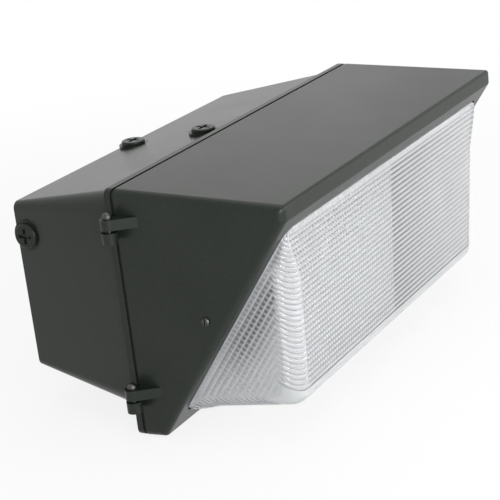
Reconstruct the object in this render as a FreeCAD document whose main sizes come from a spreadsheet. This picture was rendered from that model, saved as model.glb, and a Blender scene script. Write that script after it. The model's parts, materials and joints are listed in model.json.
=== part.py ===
"""Wall pack light: a wide die-cast outdoor light with a hinged door and a prismatic glass refractor.

Frame, in millimetres: the wall is the plane Y = 0 and the light stands out from it towards -Y.
+X is to the right of a person who faces the light, +Z is up, and the origin is the centre of the
housing's rear face.
"""
import FreeCAD, Part
import math
import os
import re
from types import SimpleNamespace

import Sketcher

DRIVING = {
    # door and housing outline, as seen from the front
    "door_width": 457.0,
    "door_top": 112.0,
    "door_bottom": 120.0,
    "door_corner": 7.0,
    # die-cast back housing: a tapered box that ends in a flange
    "rear_width": 390.0,
    "rear_height": 164.0,
    "rear_corner": 7.0,
    "housing_depth": 135.5,
    "housing_wall": 3.5,
    "rear_wall": 4.0,
    "mouth_corner": 20.0,
    "flange_thickness": 6.0,
    "flange_step_top": 5.0,
    "flange_step_side": 2.5,
    "flange_step_bottom": 20.0,
    # gap between flange and door, filled by the gasket
    "seam_gap": 3.0,
    "gasket_inset": 2.0,
    "gasket_width": 4.0,
    # die-cast door with its slanted front
    "door_wall": 3.0,
    "door_lip_width": 7.0,
    "door_lip_thickness": 4.0,
    "top_reach": 164.0,
    "bottom_reach": 19.5,
    "top_drop": 5.0,
    "bottom_rise": 1.5,
    "fascia_height": 14.0,
    "fold_radius": 3.0,
    "rim_side": 18.0,
    "rim_top": 15.0,
    "rim_bottom": 20.0,
    "rim_corner": 14.0,
    # prismatic glass refractor
    "glass_wall": 5.0,
    "glass_clearance": 2.0,
    "glass_reach": 85.5,
    "glass_foot": 97.0,
    "glass_draft": 8.0,
    "glass_round": 12.0,
    "hem_width": 9.0,
    "hem_thickness": 5.0,
    "lens_gasket_thickness": 2.0,
    "lens_gasket_width": 6.0,
    "lens_gasket_inset": 1.0,
    "lens_gasket_corner": 7.2,
    "rib_pitch": 5.08,
    "rib_depth": 1.0,
    "rib_margin": 6.5,
    "rib_cut_rise": 0.5,
    # clips that hold the refractor against the rim
    "clip_thickness": 1.2,
    "clip_width": 12.0,
    "clip_bite": 6.0,
    "clip_screw_out": 6.0,
    "clip_boss_radius": 5.0,
    # hinges and captive screws, which share their heights and their distance from the side wall
    "pin_offset": 9.5,
    "pin_diameter": 5.0,
    "pin_running_clearance": 0.05,
    "pin_press_clearance": 0.02,
    "pin_head_diameter": 8.5,
    "pin_head_height": 5.0,
    "pin_dome": 3.825,
    "pin_head_gap": 0.4,
    "knuckle_radius": 7.0,
    "knuckle_height": 10.0,
    "knuckle_gap": 2.5,
    "web_sink": 1.0,
    "web_foot": 1.5,
    "lug_root": 4.0,
    "arm_height": 9.5,
    "arm_reach": 26.0,
    "arm_gap": 0.4,
    "upper_arm_top": 90.0,
    "lower_arm_top": -68.5,
    "ear_thickness": 11.0,
    "lug_thickness": 15.0,
    "door_screw_diameter": 6.0,
    "door_screw_clearance": 0.3,
    "door_screw_head": 11.0,
    "door_screw_head_height": 4.5,
    "door_screw_chamfer": 1.0,
    "door_screw_slot_depth": 2.25,
    "door_screw_engagement": 9.0,
    "door_screw_travel": 9.0,
    "retainer_diameter": 9.0,
    "retainer_groove": 0.6,
    "retainer_thickness": 1.0,
    "retainer_gap": 0.3,
    "retainer_pocket": 10.4,
    "retainer_end_play": 0.2,
    # screws in the door's side walls
    "side_screw_forward": 217.0,
    "side_boss_radius": 6.0,
    "side_boss_length": 10.0,
    # threaded conduit entries and their closing plugs
    "entry_radius": 10.4,
    "entry_seat_radius": 14.5,
    "entry_seat_step": 1.6,
    "entry_seat_depth": 7.0,
    "entry_hole_depth": 14.0,
    "spot_face_edge": 0.5,
    "plug_head_radius": 11.8,
    "plug_head_height": 4.0,
    "plug_thread_length": 9.0,
    "plug_thread_clearance": 0.05,
    "plug_edge": 1.5,
    "plug_recess": 2.4,
    "plug_recess_width": 3.4,
    "plug_recess_reach": 7.316,
    "side_entry_back": 15.5,
    "side_entry_height": 53.0,
    "top_entry_side": 17.0,
    "top_entry_back": 16.0,
    "top_entry_front": 101.0,
    # fixing to the wall
    "mount_spacing_wide": 300.0,
    "mount_spacing_tall": 100.0,
    "mount_hole_radius": 3.5,
    "wire_entry_boss_radius": 17.0,
    "wire_entry_boss_length": 8.0,
    "post_hole_depth": 12.0,
    "blind_hole_floor": 1.0,
    # how far a cutting shape runs past what it cuts
    "cut_margin": 1.0,
    # small screws
    "screw_radius": 2.0,
    "screw_head_radius": 4.0,
    "screw_head_height": 2.4,
    "screw_hole_clearance": 0.2,
    "slot_width": 1.2,
    "screw_head_edge": 1.2,
    "screw_crown_radius": 3.0,
    "screw_recess_depth": 1.08,
    "small_screw_bite": 5.0,
    "socket_screw_bite": 7.0,
    "bracket_screw_end": 3.0,
    "post_screw_bite": 8.0,
    # reflector tray and the posts that carry it
    "reflector_back": 92.0,
    "reflector_lip": 131.0,
    "reflector_sheet": 1.2,
    "reflector_base_width": 370.0,
    "reflector_base_height": 124.0,
    "reflector_mouth_width": 420.0,
    "reflector_mouth_top": 92.0,
    "reflector_mouth_bottom": 86.0,
    "reflector_corner": 12.0,
    "reflector_lip_width": 5.0,
    "post_spacing_wide": 330.0,
    "post_spacing_tall": 96.0,
    "post_radius": 6.0,
    # lamp, along X, with its base on the +X side
    "lamp_forward": 165.0,
    "lamp_radius": 44.5,
    "lamp_length": 211.0,
    "lamp_end": 127.0,
    "lamp_neck_radius": 21.0,
    "lamp_neck_length": 14.0,
    "lamp_neck_grip": 2.0,
    "lamp_cone_length": 47.0,
    "lamp_glass": 1.2,
    "base_radius": 19.6,
    "base_length": 40.0,
    "base_straight": 30.0,
    "contact_land": 3.0,
    "arc_tube_radius": 10.0,
    "arc_tube_length": 62.0,
    "arc_tube_end": 10.0,
    "seal_overlap": 2.0,
    "seal_thickness": 4.0,
    "seal_width": 12.0,
    "arc_tube_middle": -10.0,
    "frame_rod_radius": 1.0,
    "frame_half_height": 15.0,
    "frame_gap": 0.3,
    "stem_length": 15.0,
    "stem_tip_radius": 3.0,
    "stem_foot_radius": 12.0,
    "socket_radius": 30.0,
    "socket_length": 58.0,
    "socket_floor": 17.0,
    "socket_screw_height": 15.0,
    "socket_lead_depth": 6.0,
    "socket_bevel": 3.0,
    "socket_mouth_gap": 3.0,
    "shell_thickness": 0.8,
    "shell_clearance": 0.25,
    "shell_seat_clearance": 0.3,
    "shell_lift": 1.0,
    "contact_radius": 7.0,
    "contact_height": 4.0,
    "bracket_thickness": 2.0,
    "bracket_width": 46.0,
    "bracket_foot": 24.0,
    "bracket_screw_height": 12.0,
    # ballast, capacitor and igniter behind the reflector
    "ballast_centre": -85.0,
    "core_width": 96.0,
    "core_depth": 58.0,
    "core_stack": 50.0,
    "core_limb": 9.0,
    "core_window": 11.0,
    "coil_length": 28.0,
    "coil_spacing": 36.0,
    "coil_clearance": 0.3,
    "ballast_plate": 2.0,
    "ballast_plate_half": 18.0,
    "ballast_tab_edge": 3.0,
    "ballast_ear_depth": 34.8,
    "ballast_screw_height": 45.0,
    # low bosses on the rear wall, for whatever is screwed to it
    "rear_boss_height": 8.0,
    "capacitor_centre": 82.0,
    "capacitor_radius": 22.5,
    "capacitor_height": 92.0,
    "can_bevel": 1.0,
    "can_rim": 1.0,
    "can_seam_height": 3.0,
    "can_seam_slope": 1.0,
    "can_seam_width": 2.0,
    "can_lid_drop": 2.0,
    "terminal_spacing": 16.0,
    "terminal_width": 6.0,
    "terminal_height": 9.0,
    "terminal_thickness": 0.8,
    "capacitor_clearance": 0.3,
    "clamp_thickness": 1.5,
    "clamp_width": 18.0,
    "clamp_screw_out": 31.0,
    "igniter_centre": 150.0,
    "igniter_width": 28.0,
    "igniter_depth": 24.0,
    "igniter_height": 56.0,
    "igniter_tab": 14.0,
    "igniter_corner": 3.0,
    "igniter_tab_edge": 1.0,
    "igniter_tab_root": 2.0,
    # wiring
    "lead_radius": 1.5,
    "lead_spacing": 5.0,
    "lead_start_gap": 1.0,
    "lead_end_gap": 0.3,
    "bushing_lip_radius": 8.0,
    "bushing_lip": 2.0,
    "bushing_neck_radius": 6.0,
    "bushing_bore": 4.6,
    "ground_screw_side": 40.0,
    "ground_screw_low": 55.0,
}

# where a sloping web touches its knuckle, as shares of the knuckle's radius
WEB_OUT, WEB_BACK = 0.94, 0.34
# how far out the glass's clips sit, as a share of half the window, and how far a lead's bends reach
# along its runs
CLIP_SHARE, BEND_SHARE = 0.6, 0.45
HEXAGON_SIDES = 6
# how near two places count as the same, how near an edge's middle is to the light's middle, and the least cut
SAME_PLACE, NEAR_MIDDLE, LEAST_CUT = 0.01, 1.0, 0.001

doc = FreeCAD.newDocument("wall_pack_light")
sheet = doc.addObject("Spreadsheet::Sheet", "sizes")
for row, (alias, number) in enumerate(DRIVING.items(), start=1):
    sheet.set(f"A{row}", alias)
    sheet.set(f"B{row}", str(number))
    sheet.setAlias(f"B{row}", alias)
doc.recompute()


class Size:
    """A length that keeps both its value and the sheet expression that gives it."""

    def __init__(self, text, value):
        self.text = text
        self.value = value

    def _with(self, sign, other, value):
        return Size(f"({self.text} {sign} {other.text})", value)

    def __add__(self, other):
        other = as_size(other)
        return self._with("+", other, self.value + other.value)

    def __sub__(self, other):
        other = as_size(other)
        return self._with("-", other, self.value - other.value)

    def __mul__(self, other):
        other = as_size(other)
        return self._with("*", other, self.value * other.value)

    def __truediv__(self, other):
        other = as_size(other)
        return self._with("/", other, self.value / other.value)

    def __radd__(self, other):
        return as_size(other) + self

    def __rsub__(self, other):
        return as_size(other) - self

    def __rmul__(self, other):
        return as_size(other) * self

    def __neg__(self):
        return as_size(-1.0) * self


def as_size(item):
    return item if isinstance(item, Size) else Size(repr(float(item)), float(item))


def root(size):
    return Size(f"sqrt({size.text})", math.sqrt(size.value))


def angle_of(rise, run):
    """The angle, in degrees, of a slope."""
    ratio = rise / run
    return Size(f"atan({ratio.text})", math.degrees(math.atan(ratio.value)))


QUARTER_TURN = Size("90 deg", 90.0)

S = SimpleNamespace(**{alias: Size(f"sizes.{alias}", number) for alias, number in DRIVING.items()})

UP = FreeCAD.Vector(0, 0, 1)
ALONG_X = FreeCAD.Vector(1, 0, 0)
ALONG_Y = FreeCAD.Vector(0, 1, 0)

# ---- places that several pieces share ----
half_door = S.door_width / 2
mouth_depth = S.housing_depth - S.flange_thickness
mouth_side = half_door - S.flange_step_side
mouth_top = S.door_top - S.flange_step_top
mouth_bottom = S.door_bottom - S.flange_step_bottom
inner_mouth_side = mouth_side - S.housing_wall
inner_mouth_top = mouth_top - S.housing_wall
inner_mouth_bottom = mouth_bottom - S.housing_wall
rear_side = S.rear_width / 2
rear_top = S.rear_height / 2
side_slope = (mouth_side - rear_side) / mouth_depth
top_slope = (mouth_top - rear_top) / mouth_depth

door_rear = S.housing_depth + S.seam_gap
door_front = door_rear + S.top_reach
door_front_top = S.door_top - S.top_drop

# the slanted rim plane: it starts at the door's lower front edge and leans out to the fascia
slant_low_depth = door_rear + S.bottom_reach
slant_low = S.door_bottom - S.bottom_rise
slant_high = door_front_top - S.fascia_height
slant_run = door_front - slant_low_depth
slant_rise = slant_high + slant_low
slant_length = root(slant_run * slant_run + slant_rise * slant_rise)
slant_angle = angle_of(slant_run, slant_rise)

# the window in the rim, in the slanted plane: u runs along X, v runs up the slope
window_side = half_door - S.rim_side
window_low = S.rim_bottom
window_high = slant_length - S.rim_top
glass_side = window_side - S.glass_clearance
glass_low = window_low + S.glass_clearance
glass_high = window_high - S.glass_clearance
hem_seat = S.door_wall + S.lens_gasket_thickness
hem_back = hem_seat + S.hem_thickness
# further than any part of the glass from its own origin
far = 2 * slant_length

# the glass's front face, in the same plane: it leans back and meets the rim at its upper edge
face_run = glass_high - S.glass_foot
face_rise = S.glass_reach
face_length = root(face_run * face_run + face_rise * face_rise)
face_lean = angle_of(face_rise, face_run)

hinge_x = half_door + S.pin_offset
hinge_depth = S.housing_depth + S.seam_gap / 2
ARM_TOPS = {"upper": S.upper_arm_top, "lower": S.lower_arm_top}
ear_front = door_rear + S.ear_thickness
door_screw_hole = S.door_screw_diameter / 2 + S.door_screw_clearance
small_screw_hole = S.screw_radius + S.screw_hole_clearance

lamp_base_start = S.lamp_end - S.base_length
lamp_tip = S.lamp_end - S.lamp_length
socket_mouth = lamp_base_start + S.socket_mouth_gap
socket_back = socket_mouth + S.socket_length
lead_exit = socket_back - S.socket_floor / 2
reflector_front = S.reflector_back + S.reflector_sheet
bracket_screw_side = socket_back + S.bracket_foot / 2
ballast_rear = S.rear_boss_height + S.ballast_plate
ballast_middle = ballast_rear + S.core_depth / 2
capacitor_depth = S.rear_boss_height + S.clamp_thickness + S.capacitor_clearance + S.capacitor_radius
igniter_screw_height = S.igniter_height / 2 + S.igniter_tab / 2


def expression_of(size):
    return as_size(size).text


def bind(item, path, size):
    """Tie one property to the sheet, or set it where the size is a plain number."""
    item.setExpression(path, expression_of(size))


def place(item, at=(0, 0, 0), axis=UP, angle=0):
    """Turn a sub-part about an axis and put its own origin at a bound point."""
    fixed_angle = as_size(angle)
    item.Placement = FreeCAD.Placement(FreeCAD.Vector(), FreeCAD.Rotation(axis, fixed_angle.value))
    for letter, size in zip("xyz", at):
        bind(item, f"Placement.Base.{letter}", size)
    if isinstance(angle, Size):
        bind(item, "Placement.Rotation.Angle", angle)
    return item


def new_body(label):
    body = doc.addObject("PartDesign::Body", "body")
    body.Label = label
    return body


class Drawing:
    """A sketch on one of a body's own planes, set off along the plane's normal."""

    def __init__(self, body, role, away=0.0):
        self.body = body
        self.sketch = body.newObject("Sketcher::SketchObject", "drawing")
        plane = next(item for item in body.Origin.OriginFeatures if item.Role == role)
        self.sketch.AttachmentSupport = [(plane, "")]
        self.sketch.MapMode = "FlatFace"
        bind(self.sketch, "AttachmentOffset.Base.z", away)

    def move(self, up, angle, axis):
        """Move the sketch's own origin up its plane, and turn it there about one of its own axes."""
        depth = self.sketch.AttachmentOffset.Base.z
        turn = FreeCAD.Rotation(axis, angle.value)
        self.sketch.AttachmentOffset = FreeCAD.Placement(FreeCAD.Vector(0, 0, depth), turn)
        bind(self.sketch, "AttachmentOffset.Base.y", up)
        bind(self.sketch, "AttachmentOffset.Rotation.Angle", angle)
        return self

    def rule(self, kind, *where):
        return self.sketch.addConstraint(Sketcher.Constraint(kind, *where))

    def measure(self, kind, *where_and_size):
        """A dimension whose size follows the sheet."""
        *where, size = where_and_size
        size = as_size(size)
        index = self.rule(kind, *where, size.value)
        self.sketch.setExpression(f"Constraints[{index}]", size.text)

    def pin(self, piece, point, x, y):
        """Hold a point at a bound distance from the sketch's origin."""
        if x is not None:
            self.measure("DistanceX", -1, 1, piece, point, x)
        if y is not None:
            self.measure("DistanceY", -1, 1, piece, point, y)

    def line(self, x1, y1, x2, y2):
        start, end = FreeCAD.Vector(x1, y1, 0), FreeCAD.Vector(x2, y2, 0)
        return self.sketch.addGeometry(Part.LineSegment(start, end))

    def outline(self, *corners):
        """A closed outline of straight runs through the corners, each a pair of sizes."""
        corners = [(as_size(x), as_size(y)) for x, y in corners]
        following = corners[1:] + corners[:1]
        runs = [self.line(a.value, b.value, c.value, d.value) for (a, b), (c, d) in zip(corners, following)]
        for run, after in zip(runs, runs[1:] + runs[:1]):
            self.rule("Coincident", run, 2, after, 1)
        for run, (x, y) in zip(runs, corners):
            self.pin(run, 1, x, y)
        return self

    def box(self, left, right, bottom, top):
        return self.outline((left, bottom), (right, bottom), (right, top), (left, top))

    def rounded_box(self, left, right, bottom, top, radius):
        """A box with four equal round corners."""
        west, east, south, north, r = (as_size(s).value for s in (left, right, bottom, top, radius))
        sides = [
            self.line(west + r, south, east - r, south),
            self.line(east, south + r, east, north - r),
            self.line(east - r, north, west + r, north),
            self.line(west, north - r, west, south + r),
        ]
        centres = [(east - r, south + r), (east - r, north - r), (west + r, north - r), (west + r, south + r)]
        corners = []
        for quarter, (x, y) in enumerate(centres):
            circle = Part.Circle(FreeCAD.Vector(x, y, 0), UP, r)
            start = (quarter - 1) * math.pi / 2
            corners.append(self.sketch.addGeometry(Part.ArcOfCircle(circle, start, start + math.pi / 2)))
        for number, corner in enumerate(corners):
            self.rule("Tangent", sides[number], 2, corner, 1)
            self.rule("Tangent", corner, 2, sides[(number + 1) % 4], 1)
        for side, kind in zip(sides, ("Horizontal", "Vertical", "Horizontal", "Vertical")):
            self.rule(kind, side)
        for corner in corners[1:]:
            self.rule("Equal", corners[0], corner)
        self.measure("Radius", corners[0], radius)
        self.pin(sides[0], 1, None, bottom)
        self.pin(sides[1], 1, right, None)
        self.pin(sides[2], 1, None, top)
        self.pin(sides[3], 1, left, None)
        return self

    def circle(self, x, y, radius):
        x, y, radius = as_size(x), as_size(y), as_size(radius)
        centre = FreeCAD.Vector(x.value, y.value, 0)
        ring = self.sketch.addGeometry(Part.Circle(centre, UP, radius.value))
        self.pin(ring, 3, x, y)
        self.measure("Radius", ring, radius)
        return self

    def feature(self, kind, length=None, symmetric=False, reverse=False):
        item = self.body.newObject(f"PartDesign::{kind}", kind.lower())
        item.Profile = self.sketch
        if length is not None:
            bind(item, "Length", length)
        if symmetric:
            item.SideType = "Symmetric"
        item.Reversed = reverse
        self.sketch.Visibility = False
        return item

    def pad(self, length, symmetric=False, reverse=False):
        return self.feature("Pad", length, symmetric, reverse)

    def pocket(self, length, symmetric=False, reverse=False):
        return self.feature("Pocket", length, symmetric, reverse)

    def turned(self, kind="Revolution"):
        """Spin the outline once about the sketch's upright axis."""
        item = self.body.newObject(f"PartDesign::{kind}", kind.lower())
        item.Profile = self.sketch
        item.ReferenceAxis = (self.sketch, ["V_Axis"])
        item.Angle = 360
        self.sketch.Visibility = False
        return item


def loft(body, kind, first, last):
    """Join two drawings with flat sides; kind is AdditiveLoft or SubtractiveLoft."""
    item = body.newObject(f"PartDesign::{kind}", kind.lower())
    item.Profile = first.sketch
    item.Sections = [last.sketch]
    item.Ruled = True
    first.sketch.Visibility = False
    last.sketch.Visibility = False
    return item


def edges_where(feature, test):
    """The names of a feature's edges whose middle point and direction pass a test."""
    doc.recompute()
    names = []
    for number, edge in enumerate(feature.Shape.Edges, start=1):
        middle = edge.valueAt((edge.FirstParameter + edge.LastParameter) / 2)
        ends = edge.Vertexes[-1].Point - edge.Vertexes[0].Point
        if test(middle, ends):
            names.append(f"Edge{number}")
    return names


def rounded(body, feature, names, radius):
    item = body.newObject("PartDesign::Fillet", "rounding")
    item.Base = (feature, names)
    bind(item, "Radius", radius)
    return item


def group(label, pieces):
    """Separate solids that share one node."""
    item = doc.addObject("Part::Compound", "group")
    item.Label = label
    item.Links = pieces
    return item


def pan_head_screw(label, length, recess="slot"):
    """A small screw, head up: the seat is at Z = 0 and the shank points down."""
    body = new_body(label)
    profile = Drawing(body, "XZ_Plane").outline(
        (0, -as_size(length)), (S.screw_radius, -as_size(length)), (S.screw_radius, 0),
        (S.screw_head_radius, 0), (S.screw_head_radius, S.screw_head_edge),
        (S.screw_crown_radius, S.screw_head_height), (0, S.screw_head_height))
    profile.turned()
    reach = S.screw_head_radius + S.cut_margin
    slot = Drawing(body, "XY_Plane", S.screw_head_height)
    slot.box(-reach, reach, -S.slot_width / 2, S.slot_width / 2)
    slot.pocket(S.screw_recess_depth)
    if recess == "cross":
        cross = Drawing(body, "XY_Plane", S.screw_head_height)
        cross.box(-S.slot_width / 2, S.slot_width / 2, -reach, reach)
        cross.pocket(S.screw_recess_depth)
    return body


def post_places():
    across, up = S.post_spacing_wide / 2, S.post_spacing_tall / 2
    return [(-across, -up), (across, -up), (-across, up), (across, up)]


def rear_boss_places():
    """Screw places on the rear wall: two for the ballast, then clamp, igniter and ground screw."""
    return [
        (S.ballast_centre, -S.ballast_screw_height),
        (S.ballast_centre, S.ballast_screw_height),
        (S.capacitor_centre + S.clamp_screw_out, as_size(0)),
        (S.igniter_centre, igniter_screw_height),
        (S.ground_screw_side, -S.ground_screw_low),
    ]


def entry_seats():
    """Each threaded entry: its plane, its place in that plane and how far its seat is from the middle."""
    seats = []
    for depth in (S.top_entry_back, S.top_entry_front):
        height = rear_top + top_slope * depth + S.entry_seat_step
        seats.append(("XY_Plane", 1, -S.top_entry_side, -depth, height))
    reach = rear_side + side_slope * S.side_entry_back + S.entry_seat_step
    for side in (-1, 1):
        seats.append(("YZ_Plane", side, -S.side_entry_back, S.side_entry_height, reach))
    return seats


def back_housing():
    """The die-cast back: a tapered box with a flange, entry seats, hinge knuckles and screw lugs."""
    body = new_body("back_housing")
    rear = Drawing(body, "XZ_Plane")
    rear.rounded_box(-rear_side, rear_side, -rear_top, rear_top, S.rear_corner)
    mouth = Drawing(body, "XZ_Plane", mouth_depth)
    mouth.rounded_box(-mouth_side, mouth_side, -mouth_bottom, mouth_top, S.mouth_corner)
    loft(body, "AdditiveLoft", rear, mouth)
    flange = Drawing(body, "XZ_Plane", mouth_depth)
    flange.rounded_box(-half_door, half_door, -S.door_bottom, S.door_top, S.door_corner)
    flange.pad(S.flange_thickness)

    # hinge knuckles on the left and screw lugs on the right, cast on the flange
    for arm_top in ARM_TOPS.values():
        knuckle_top = arm_top - S.arm_height - S.knuckle_gap
        knuckle = Drawing(body, "XY_Plane", knuckle_top - S.knuckle_height)
        knuckle.circle(-hinge_x, -hinge_depth, S.knuckle_radius)
        knuckle.pad(S.knuckle_height)
        web = Drawing(body, "XY_Plane", knuckle_top - S.knuckle_height)
        web.outline((-hinge_x, -S.housing_depth), (-(half_door - S.web_sink), -S.housing_depth),
                    (-(mouth_side - S.web_foot), -(hinge_depth - S.knuckle_radius * 2)),
                    (-(hinge_x + S.knuckle_radius * WEB_OUT), -(hinge_depth - S.knuckle_radius * WEB_BACK)))
        web.pad(S.knuckle_height)
        lug = Drawing(body, "XZ_Plane", S.housing_depth - S.lug_thickness)
        lug_middle = arm_top - S.arm_height / 2
        lug.circle(hinge_x, lug_middle, S.knuckle_radius)
        lug.pad(S.lug_thickness)
        lug_root = Drawing(body, "XZ_Plane", S.housing_depth - S.lug_thickness)
        lug_root.box(mouth_side - S.lug_root, hinge_x, lug_middle - S.knuckle_radius,
                     lug_middle + S.knuckle_radius)
        lug_root.pad(S.lug_thickness)

    # the hollow, open at the mouth
    hollow_back = Drawing(body, "XZ_Plane", S.rear_wall)
    inner_rear_side = rear_side - S.housing_wall + side_slope * S.rear_wall
    inner_rear_top = rear_top - S.housing_wall
    hollow_back.rounded_box(-inner_rear_side, inner_rear_side, -inner_rear_top, inner_rear_top,
                            S.rear_corner / 2)
    hollow_mouth = Drawing(body, "XZ_Plane", S.housing_depth)
    hollow_mouth.rounded_box(-inner_mouth_side, inner_mouth_side, -inner_mouth_bottom, inner_mouth_top,
                             S.mouth_corner - S.housing_wall)
    loft(body, "SubtractiveLoft", hollow_back, hollow_mouth)

    # round seats for the threaded entries, spot-faced where the sloping wall stands above them
    for plane, side, across, up, reach in entry_seats():
        seat = Drawing(body, plane, (reach - S.entry_seat_depth) * side)
        seat.circle(across, up, S.entry_seat_radius)
        seat.pad(S.entry_seat_depth, reverse=side < 0)
        spot_face = Drawing(body, plane, reach * side)
        spot_face.circle(across, up, S.entry_seat_radius + S.spot_face_edge)
        spot_face.pocket(S.entry_seat_radius, reverse=side > 0)

    # inside the rear wall: the wire entry's boss, the reflector's posts and the ballast's pads
    boss = Drawing(body, "XZ_Plane", S.rear_wall / 2)
    boss.circle(0, 0, S.wire_entry_boss_radius)
    boss.pad(S.rear_wall / 2 + S.wire_entry_boss_length)
    for x, z in post_places():
        post = Drawing(body, "XZ_Plane", S.rear_wall / 2)
        post.circle(x, z, S.post_radius)
        post.pad(S.reflector_back - S.rear_wall / 2)
        tapped = Drawing(body, "XZ_Plane", S.reflector_back)
        tapped.circle(x, z, small_screw_hole)
        tapped.pocket(S.post_hole_depth)
    for x, z in rear_boss_places():
        pad = Drawing(body, "XZ_Plane", S.rear_wall / 2)
        pad.circle(x, z, S.post_radius)
        pad.pad(S.rear_boss_height - S.rear_wall / 2)
        tapped = Drawing(body, "XZ_Plane", S.rear_boss_height)
        tapped.circle(x, z, small_screw_hole)
        tapped.pocket(S.rear_boss_height - S.blind_hole_floor)

    # through holes: wall fixings, wire entry, threaded entries, hinge pins and door screws
    fixings = Drawing(body, "XZ_Plane")
    for x in (-S.mount_spacing_wide / 2, S.mount_spacing_wide / 2):
        for z in (-S.mount_spacing_tall / 2, S.mount_spacing_tall / 2):
            fixings.circle(x, z, S.mount_hole_radius)
    fixings.circle(0, 0, S.entry_radius)
    fixings.pocket(S.rear_wall + S.wire_entry_boss_length + S.cut_margin, reverse=True)
    for plane, side, across, up, reach in entry_seats():
        hole = Drawing(body, plane, reach * side)
        hole.circle(across, up, S.entry_radius)
        hole.pocket(S.entry_hole_depth, reverse=side < 0)
    for arm_top in ARM_TOPS.values():
        knuckle_top = arm_top - S.arm_height - S.knuckle_gap
        bore = Drawing(body, "XY_Plane", knuckle_top)
        bore.circle(-hinge_x, -hinge_depth, S.pin_diameter / 2 + S.pin_press_clearance)
        bore.pocket(S.knuckle_height)
        screw_hole = Drawing(body, "XZ_Plane", S.housing_depth)
        screw_hole.circle(hinge_x, arm_top - S.arm_height / 2, door_screw_hole)
        screw_hole.pocket(S.lug_thickness)
    return body


def slanted_block(label, inset, past_rear):
    """A box with a slanted front, drawn in its side view; inset moves all but its rear face inwards."""
    body = new_body(label)
    lean = slant_run / slant_rise
    shift = inset * slant_length / slant_rise
    low = slant_low - inset
    low_depth = slant_low_depth - shift + inset * lean
    front = door_front - inset
    high = (front - slant_low_depth + shift) / lean - slant_low
    rear = door_rear - past_rear
    side_view = Drawing(body, "YZ_Plane")
    side_view.outline((-rear, -(S.door_bottom - inset)), (-low_depth, -low), (-front, high),
                      (-front, door_front_top - inset), (-rear, S.door_top - inset))
    return body, side_view.pad(S.door_width - 2 * inset, symmetric=True)


def side_edges(feature, half_width, rear):
    """The edges round both ends of a block, apart from those of its open rear."""
    def is_side_edge(middle, ends):
        return abs(middle.x) > half_width.value - SAME_PLACE and middle.y < -rear.value - SAME_PLACE
    return edges_where(feature, is_side_edge)


def rim_drawing(body, out):
    """A sketch parallel to the slanted rim, set off outwards from it."""
    depth = slant_low_depth + out * slant_rise / slant_length
    drop = slant_low + out * slant_run / slant_length
    return Drawing(body, "XZ_Plane", depth).move(-drop, slant_angle, ALONG_X)


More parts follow.
